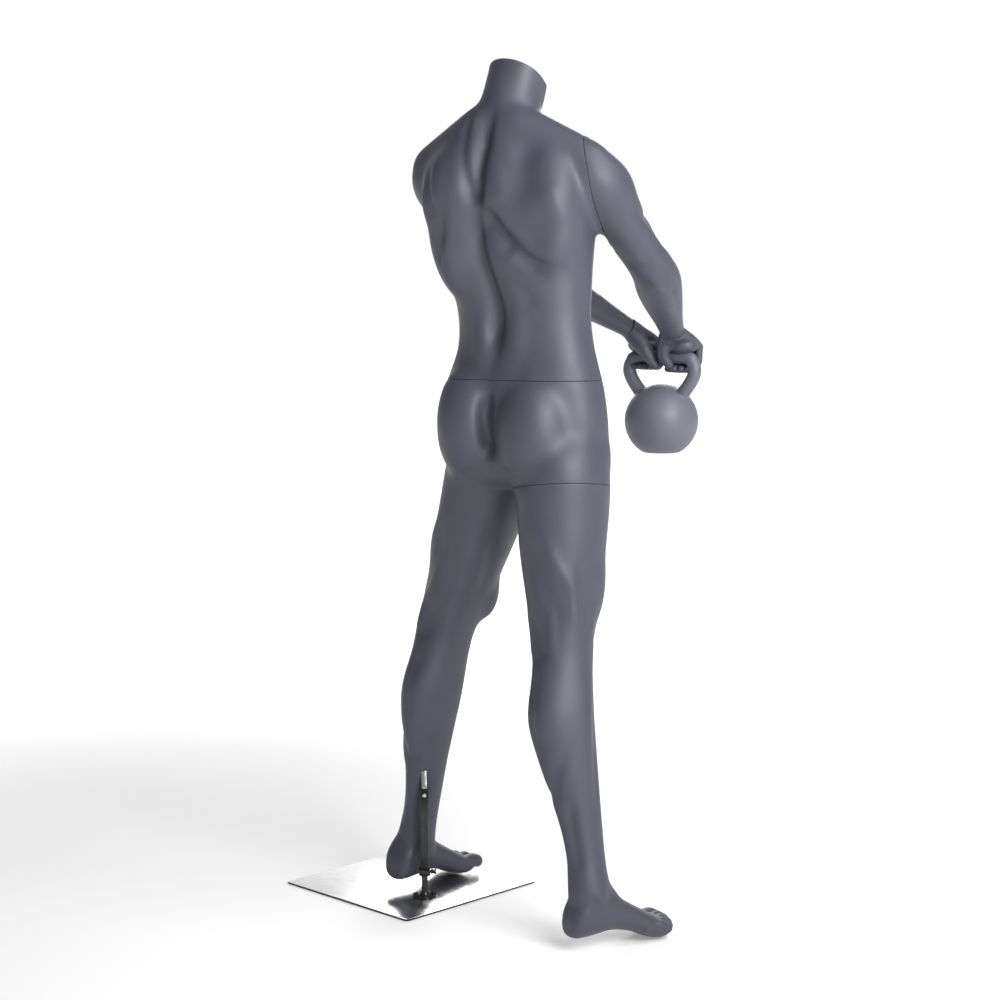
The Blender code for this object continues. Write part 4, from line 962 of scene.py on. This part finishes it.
def kettlebell():
    bm = bmesh.new()
    edge = math.asin(BELL_FLAT / BELL_RADIUS)
    profile = [(BELL_RADIUS * math.cos(a), BELL_RADIUS * math.sin(a))
               for a in np.linspace(math.pi / 2, 0.04 - edge, 60)]
    foot_r, foot_z = BELL_RADIUS * math.cos(edge), -BELL_FLAT
    profile += [(foot_r - 0.0004, foot_z + 0.0006), (foot_r - 0.0016, foot_z)]
    rings = [ring(BELL + Vector((0, 0, z)), Vector((1, 0, 0)), Vector((0, 1, 0)), (max(r, 1e-5),) * 4, 96)
             for r, z in profile]
    skin(bm, rings)
    add_handle(bm, BAR_RADIUS, 0.0022)
    clay = Clay(melted("kettlebell_forms", bm, HAND_VOXEL))
    local = clay.points - np.array(BELL)
    at_root = np.clip(1 - (np.abs(np.linalg.norm(local, axis=1) - BELL_RADIUS) - 0.004) / 0.008, 0, 1)
    at_root *= local[:, 2] > 0.02
    clay.soften(6, np.clip(0.3 + at_root, 0, 1)[:, None])
    clay.store()
    bm = bmesh.new()
    bm.from_mesh(clay.mesh)
    piece("kettlebell_body", bm, "kettle", "grip", "kettlebell_paint", "kettlebell", sharp=50)


def add_fingers(bm, side):
    """Four fingers over the bar from the front, closed under it."""
    for k in range(4):
        at = (0.019 + 0.0168 * k) * side
        thick = (0.0090, 0.0096, 0.0094, 0.0084)[k]
        reach = (0.0, 0.003, 0.002, -0.003)[k]
        low = -0.0240 if side > 0 else -0.0195
        joints = (grip_point(at, 0.010, 0.0275), grip_point(at, 0.035 + reach, 0.021),
                  grip_point(at, 0.0335 + reach, -0.010), grip_point(at * 0.97, 0.015, low - 0.001),
                  grip_point(at * 0.95, -0.007, low))
        for a, b, ra, rb in zip(joints, joints[1:], (1.0, 1.02, 0.96, 0.92), (1.06, 0.97, 0.93, 0.84)):
            bar(bm, a, b, thick * ra, thick * rb)
        mass(bm, joints[1] + Vector((0, 0, 0.0012)), (thick * 0.98, thick * 1.08, thick * 1.05))


THUMBS = {   # along, ahead and above the bar's middle, then the radius, from the ball of the thumb to its tip
    1: ((0.033, -0.036, 0.040, 0.0170), (0.0255, -0.034, 0.022, 0.0140), (0.0215, -0.030, 0.003, 0.0120),
        (0.0310, -0.021, -0.016, 0.0095)),
    -1: ((-0.034, -0.038, 0.033, 0.0190), (-0.020, -0.036, 0.018, 0.0165), (-0.011, -0.031, 0.000, 0.0130),
         (-0.002, -0.021, -0.018, 0.0095)),
}


def hand(side):
    """side is 1 for the right hand."""
    e, w = (Vector(ELBOW_R), Vector(WRIST_R)) if side > 0 else (Vector(ELBOW_L), Vector(WRIST_L))
    bm = bmesh.new()
    knuckles = grip_point(0.044 * side, 0.026, 0.0275)
    limb(bm, (
        (*between(e, w, 0.90), 0.0270, 0.0270, 0.0205, 0.0205),
        (*w, 0.0270, 0.0270, 0.0200, 0.0200),
        (*w.lerp(knuckles, 0.28), 0.0300, 0.0300, 0.0175, 0.0175),
        (*w.lerp(knuckles, 0.60), 0.0350, 0.0350, 0.0145, 0.0145),
        (*w.lerp(knuckles, 0.98), 0.0350, 0.0350, 0.0110, 0.0110),
    ), (0, 0.2, -1))
    add_fingers(bm, side)
    mass(bm, grip_point(0.045 * side, 0.002, 0.0235), (0.036, 0.030, 0.0190), (0, 0, 1))
    for a, b in zip(THUMBS[side], THUMBS[side][1:]):
        bar(bm, grip_point(*a[:3]), grip_point(*b[:3]), a[3], b[3])
    mass(bm, w.lerp(grip_point(*THUMBS[side][0][:3]), 0.62), (0.020, 0.017, 0.030),
         grip_point(*THUMBS[side][0][:3]) - w)
    clay = Clay(melted("hand_forms", bm, HAND_VOXEL))
    clay.soften(round(9 * (0.0020 / HAND_VOXEL) ** 2))
    clay.refresh()
    # tendons over the back of the hand, hollows between the knuckles
    for k in range(4):
        at = (0.019 + 0.0168 * k) * side
        clay.press(through((w.lerp(knuckles, 0.25) + Vector((0, 0, 0.018)), grip_point(at, 0.004, 0.046),
                            grip_point(at, 0.030, 0.040)), 5), 0.0032, -0.0012)
        if k < 3:
            gap = at + 0.0084 * side
            clay.press(through((grip_point(gap, 0.008, 0.044), grip_point(gap, 0.034, 0.036),
                                grip_point(gap, 0.048, 0.010)), 5), 0.0036, 0.0022)
    clay.soften(round(2 * (0.0020 / HAND_VOXEL) ** 2))
    clay.store()
    bm = bmesh.new()
    bm.from_mesh(clay.mesh)
    seam = "wrist_r" if side > 0 else "wrist_l"
    centre, normal, radius = SEAMS[seam]
    geom = bm.verts[:] + bm.edges[:] + bm.faces[:]
    bmesh.ops.bisect_plane(bm, geom=geom, dist=1e-6, plane_co=centre, plane_no=normal, clear_inner=True)
    loop = rim_of(bm, centre, -normal, radius)
    draw_back(loop, centre, -normal, SEAM + RIM, 0.006)
    close_end(bm, loop, -normal, RIM, well=FITTINGS[seam][2], middle=centre)
    name = "hand_right" if side > 0 else "hand_left"
    piece(name + "_shell", bm, "shell", "grip", "shell_paint", name)


# ---- stand --------------------------------------------------------------------------------------

PLATE_SIDE, PLATE_THICK, PLATE_CORNER = 0.360, 0.004, 0.008
ROD = Vector((-0.094, 0.051, 0))
FLANGE_RADIUS = 0.024
POST_RADIUS, POST_TOP = 0.0062, 0.150
ROD_SIDE, ROD_BORE, ROD_FOOT, ROD_TOP = 0.016, 0.0134, 0.046, 0.222
GAP = 0.0004
TONGUE_WIDTH, TONGUE_THICK = 0.010, 0.004
TONGUE_FOOT, TONGUE_LEAN, TONGUE_LENGTH = 0.190, Vector((0.27, -0.20, 1.0)), 0.128
FLAT, ACROSS, UP = Vector((1, 1, 0)).normalized(), Vector((-1, 1, 0)).normalized(), Vector((0, 0, 1))


def lathe(bm, centre, normal, profile, sides=64, spin=0.0):
    """Profile of (radius, height) turned about the normal; a closed ring where it starts off the axis."""
    n = Vector(normal).normalized()
    turn = Vector((0, 0, 1)).rotation_difference(n).to_matrix()
    loops = []
    for radius, height in profile:
        if radius == 0:
            loops.append([bm.verts.new(Vector(centre) + turn @ Vector((0, 0, height)))] * sides)
            continue
        loops.append([bm.verts.new(Vector(centre) + turn @ Vector((
            radius * math.cos(2 * math.pi * k / sides + spin), radius * math.sin(2 * math.pi * k / sides + spin),
            height))) for k in range(sides)])
    pairs = list(zip(loops, loops[1:])) + ([(loops[-1], loops[0])] if profile[0][0] > 0 else [])
    for a, b in pairs:
        for k in range(sides):
            j = (k + 1) % sides
            face = list(dict.fromkeys((a[k], a[j], b[j], b[k])))
            if len(face) > 2:
                bm.faces.new(face)


def rounded(profile, radius, steps=3):
    """The profile with its corners rounded off; both ends stay."""
    pts = [Vector((*p, 0)) for p in profile]
    out = [profile[0]]
    for a, p, b in zip(pts, pts[1:], pts[2:]):
        r = min(radius, (a - p).length / 2.2, (b - p).length / 2.2)
        start, end = p + (a - p).normalized() * r, p + (b - p).normalized() * r
        for k in range(steps + 1):
            t = k / steps
            q = start.lerp(p, t).lerp(p.lerp(end, t), t)
            out.append((q.x, q.y))
    return out + [profile[-1]]


def outline(half_x, half_y, corner, steps=8):
    """Rounded rectangle, anticlockwise."""
    pts = []
    for cx, cy, start in ((1, 1, 0), (-1, 1, 90), (-1, -1, 180), (1, -1, 270)):
        for k in range(steps + 1):
            a = math.radians(start + 90 * k / steps)
            pts.append((cx * (half_x - corner) + corner * math.cos(a),
                        cy * (half_y - corner) + corner * math.sin(a)))
    return pts


def prism(bm, centre, axes, half_x, half_y, corner, low, high, bevel, bore=None):
    """Rounded bar from low to high along the third axis, with bevelled ends, and a bore if one is given."""
    def loop(shrink, height, hx=half_x, hy=half_y, r=corner):
        return [bm.verts.new(centre + axes[0] * x + axes[1] * y + axes[2] * height)
                for x, y in outline(hx - shrink, hy - shrink, max(r - shrink, 1e-4))]

    soft = bevel * 0.3
    loops = [loop(bevel, low), loop(soft, low + soft), loop(0, low + bevel), loop(0, high - bevel),
             loop(soft, high - soft), loop(bevel, high)]
    for a, b in zip(loops, loops[1:]):
        joined_rings(bm, a, b)
    if bore is None:
        bm.faces.new(loops[0][::-1])
        bm.faces.new(loops[-1])
        return
    inner = [loop(0, low, bore, bore, corner * 0.5), loop(0, high, bore, bore, corner * 0.5)]
    joined_rings(bm, loops[-1], inner[1])
    joined_rings(bm, inner[1], inner[0])
    joined_rings(bm, inner[0], loops[0])


def cross_cut(obj, bm):
    """Cut a closed helper out of a piece."""
    cutter = object_of("cutter", bm)
    mod = obj.modifiers.new("cut", "BOOLEAN")
    mod.operation, mod.solver, mod.object = "DIFFERENCE", "EXACT", cutter
    bpy.context.view_layer.update()
    mesh = bpy.data.meshes.new_from_object(obj.evaluated_get(bpy.context.evaluated_depsgraph_get()))
    obj.modifiers.clear()
    obj.data = mesh
    mesh.set_sharp_from_angle(angle=math.radians(34))
    bpy.data.objects.remove(cutter)


def stand():
    world = Vector((1, 0, 0)), Vector((0, 1, 0)), UP
    bm = bmesh.new()
    prism(bm, Vector(), world, PLATE_SIDE / 2, PLATE_SIDE / 2, PLATE_CORNER, 0, PLATE_THICK, 0.0007)
    plate = piece("base_plate_steel", bm, "plate", "stand", "polished_steel", "base_plate")
    # Painted shade: the plate's sides and underside take the black coat, a dark rim standing in for the shadow along
    # the plate's edge.
    plate.data.materials.append(LOOK["black"])
    for face in plate.data.polygons:
        face.material_index = 1 if face.normal.z < 0.5 else 0
    z = PLATE_THICK + GAP
    bm = bmesh.new()
    lathe(bm, ROD, UP, [(0, z)] + rounded((
        (0, z), (FLANGE_RADIUS, z), (FLANGE_RADIUS, z + 0.004), (0.0105, z + 0.004), (0.0080, z + 0.0095),
        (POST_RADIUS, z + 0.0102), (POST_RADIUS, POST_TOP), (0, POST_TOP)), 0.0008)[1:])
    piece("post_and_flange", bm, "black", "stand", "black_steel", "post", weld=1e-7)
    for k, angle in enumerate((45, 135, 225, 315)):
        a = math.radians(angle)
        at = ROD + Vector((0.017 * math.cos(a), 0.017 * math.sin(a), 0))
        top = z + 0.004
        bm = bmesh.new()
        lathe(bm, at, UP, rounded(((0, top), (0.0040, top), (0.0038, top + 0.0017), (0.0024, top + 0.0026),
                                   (0.0014, top + 0.0026), (0.0014, top + 0.0012), (0, top + 0.0012)), 0.0003), 36)
        piece(f"flange_screw_head_{k + 1}", bm, "black", "stand", "black_steel", f"flange_screw_{k + 1}",
              weld=1e-7)
    axes = FLAT, ACROSS, UP
    bm = bmesh.new()
    prism(bm, ROD, axes, ROD_SIDE / 2, ROD_SIDE / 2, 0.0014, ROD_FOOT, ROD_TOP, 0.0004, ROD_BORE / 2)
    piece("calf_rod_tube", bm, "black", "rod", "black_steel", "calf_rod")
    middle = ROD + UP * (ROD_FOOT + 0.008)
    bm = bmesh.new()
    prism(bm, middle, axes, 0.0113, 0.0113, 0.0028, -0.006, 0.006, 0.0009, (ROD_SIDE + 0.0007) / 2)
    piece("rod_clamp_collar", bm, "black", "rod", "black_steel", "clamp_collar")
    bm = bmesh.new()
    lathe(bm, middle, -FLAT, rounded(((0, 0.0067), (0.0023, 0.0067), (0.0023, 0.0124), (0.0050, 0.0124),
                                      (0.0050, 0.0165), (0.0030, 0.0180), (0, 0.0180)), 0.0005), 40)
    for side in (1, -1):
        root = middle - FLAT * 0.0172
        for t in np.linspace(0, 1, 6):
            tip = root + ACROSS * side * (0.002 + 0.0092 * t) - FLAT * (0.001 + 0.0036 * t ** 1.6)
            mass(bm, tip, (0.0014 + 0.0002 * t, 0.0030 - 0.0006 * t, 0.0030 - 0.0004 * t), UP, ACROSS)
    clay = Clay(melted("wing_forms", bm, 0.00045))
    clay.soften(3)
    clay.store()
    bm = bmesh.new()
    bm.from_mesh(clay.mesh)
    piece("wing_screw", bm, "black", "thumb", "black_steel", "thumb_screw", sharp=60)
    tongue()


def tongue():
    """Flat bare strip: upright in the rod, then leaning into the calf."""
    d = TONGUE_LEAN.normalized()
    wide = (FLAT - d * FLAT.dot(d)).normalized()
    thick = d.cross(wide)
    bend = ROD + UP * (ROD_TOP + 0.002)
    bm = bmesh.new()
    loops = []
    stations = [(ROD + UP * TONGUE_FOOT, FLAT, ACROSS, 0.0006), (ROD + UP * (TONGUE_FOOT + 0.0005), FLAT, ACROSS, 0),
                (bend - UP * 0.004, FLAT, ACROSS, 0)]
    for t in np.linspace(0.15, 0.85, 5):
        p = (bend - UP * 0.004).lerp(bend, t).lerp(bend.lerp(bend + d * 0.006, t), t)
        stations.append((p, FLAT.lerp(wide, t).normalized(), ACROSS.lerp(thick, t).normalized(), 0))
    stations += [(bend + d * 0.006, wide, thick, 0), (bend + d * (TONGUE_LENGTH - 0.0006), wide, thick, 0),
                 (bend + d * TONGUE_LENGTH, wide, thick, 0.0006)]
    for p, w, t, shrink in stations:
        loops.append([bm.verts.new(p + w * x + t * y) for x, y in
                      outline(TONGUE_WIDTH / 2 - shrink, TONGUE_THICK / 2 - shrink, 0.0005, 3)])
    for a, b in zip(loops, loops[1:]):
        joined_rings(bm, a, b)
    bm.faces.new(loops[0][::-1])
    bm.faces.new(loops[-1])
    piece("tongue_strip", bm, "steel", "rod", "bare_steel", "tongue")
    high = ROD + UP * (ROD_TOP - 0.012)
    bm = bmesh.new()
    lathe(bm, high, ACROSS, rounded(((0, -0.0084), (0.0022, -0.0084), (0.0022, 0.0084), (0.0042, 0.0084),
                                     (0.0042, 0.0098), (0.0026, 0.0114), (0, 0.0114)), 0.0004), 40)
    piece("tongue_pin", bm, "zinc", "rod", "zinc_steel", "tongue_screw", weld=1e-7)


def plain_nodes():
    """The frame's own hidden fittings only take better materials."""
    looks = dict(board="ply", spigot="zinc", bush="zinc", magnet="magnet", disc="steel", socket="zinc")
    for name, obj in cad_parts.items():
        for word, look in looks.items():
            if word in name:
                obj.data.materials.clear()
                obj.data.materials.append(LOOK[look])


# ---- stage --------------------------------------------------------------------------------------

def studio_world():
    """White to look at. As a light it is bright behind the figure and dim on the side it is seen from."""
    world = bpy.data.worlds.new("studio_world")
    world.use_nodes = True
    nodes, links = world.node_tree.nodes, world.node_tree.links
    place = nodes.new("ShaderNodeTexCoord")
    toward = nodes.new("ShaderNodeVectorMath")
    toward.operation = "DOT_PRODUCT"
    toward.inputs[1].default_value = BRIGHT_SIDE
    links.new(place.outputs["Generated"], toward.inputs[0])
    light = nodes["Background"]
    links.new(ramp(nodes, links, toward.outputs["Value"], grey(WORLD_DIM), grey(WORLD_BRIGHT), *WORLD_TURN),
              light.inputs["Color"])
    seen = nodes.new("ShaderNodeBackground")
    seen.inputs["Color"].default_value = (1, 1, 1, 1)
    rays, mix = nodes.new("ShaderNodeLightPath"), nodes.new("ShaderNodeMixShader")
    links.new(rays.outputs["Is Camera Ray"], mix.inputs["Fac"])
    links.new(light.outputs["Background"], mix.inputs[1])
    links.new(seen.outputs["Background"], mix.inputs[2])
    links.new(mix.outputs["Shader"], nodes["World Output"].inputs["Surface"])
    return world


def stage():
    scene = bpy.context.scene
    floor_mat, nodes, links, bsdf = shader("studio_white", (0.74, 0.74, 0.74), 0.75)
    bsdf.inputs["Specular IOR Level"].default_value = 0.15
    place, away = nodes.new("ShaderNodeTexCoord"), nodes.new("ShaderNodeVectorMath")
    away.operation = "LENGTH"
    links.new(place.outputs["Object"], away.inputs[0])
    near = nodes.new("ShaderNodeMapRange")
    near.interpolation_type = "SMOOTHSTEP"
    for k, value in enumerate((*GLOW_RADII, FLOOR_GLOW, FAR_GLOW)):
        near.inputs[k + 1].default_value = value
    links.new(away.outputs["Value"], near.inputs["Value"])
    links.new(near.outputs["Result"], bsdf.inputs["Emission Strength"])
    bsdf.inputs["Emission Color"].default_value = (1, 1, 1, 1)
    bm = bmesh.new()
    bmesh.ops.create_grid(bm, x_segments=2, y_segments=2, size=30,
                          matrix=Matrix.Translation((0, 0, -0.0006)))
    floor = object_of("studio_floor", bm)
    floor.data.materials.append(floor_mat)
    scene.world = studio_world()
    for name, place, aim, size, power, colour in LIGHTS:
        data = bpy.data.lights.new(name, "AREA")
        data.shape, data.size, data.size_y = "RECTANGLE", *size
        data.energy, data.color = power, colour
        obj = bpy.data.objects.new(name, data)
        obj.location = place
        obj.rotation_euler = (Vector(aim) - Vector(place)).to_track_quat("-Z", "Y").to_euler()
        scene.collection.objects.link(obj)
    data = bpy.data.cameras.new("camera")
    data.lens, data.sensor_width = LENS, 36
    data.clip_end = 100
    camera = bpy.data.objects.new("camera", data)
    camera.location = CAMERA
    yaw, pitch = math.radians(CAMERA_YAW), math.radians(CAMERA_PITCH)
    look = Vector((-math.sin(yaw) * math.cos(pitch), math.cos(yaw) * math.cos(pitch), -math.sin(pitch)))
    camera.rotation_euler = look.to_track_quat("-Z", "Y").to_euler()
    scene.collection.objects.link(camera)
    scene.camera = camera
    scene.view_settings.view_transform = "Standard"


CAMERA, CAMERA_YAW, CAMERA_PITCH, LENS = (-2.911, 2.714, 1.2), 224.4, 5.96, 72.0
BRIGHT_SIDE = (0.70, -0.71, 0.05)
WORLD_DIM, WORLD_BRIGHT, WORLD_TURN = 0.22, 1.0, (0.55, 0.98)
FLOOR_GLOW, FAR_GLOW, GLOW_RADII = 0.24, 1.0, (0.9, 3.4)
LIGHTS = (   # name, place, aim, size, power, colour
    ("key", (-2.70, 0.54, 1.89), (-0.27, 0.0, 1.15), (1.5, 1.5), 86, (1.0, 1.0, 1.0)),
    ("top", (-1.97, -0.52, 3.05), (-0.27, 0.0, 1.15), (1.5, 1.5), 36, (1.0, 1.0, 1.0)),
    ("front", (1.6, -2.4, 1.9), (-0.27, 0.0, 1.1), (1.8, 1.8), 50, (1.0, 1.0, 1.0)),
)


def main():
    shell_pieces()
    kettlebell()
    for side in (1, -1):
        hand(side)
    stand()
    plain_nodes()
    stage()


main()
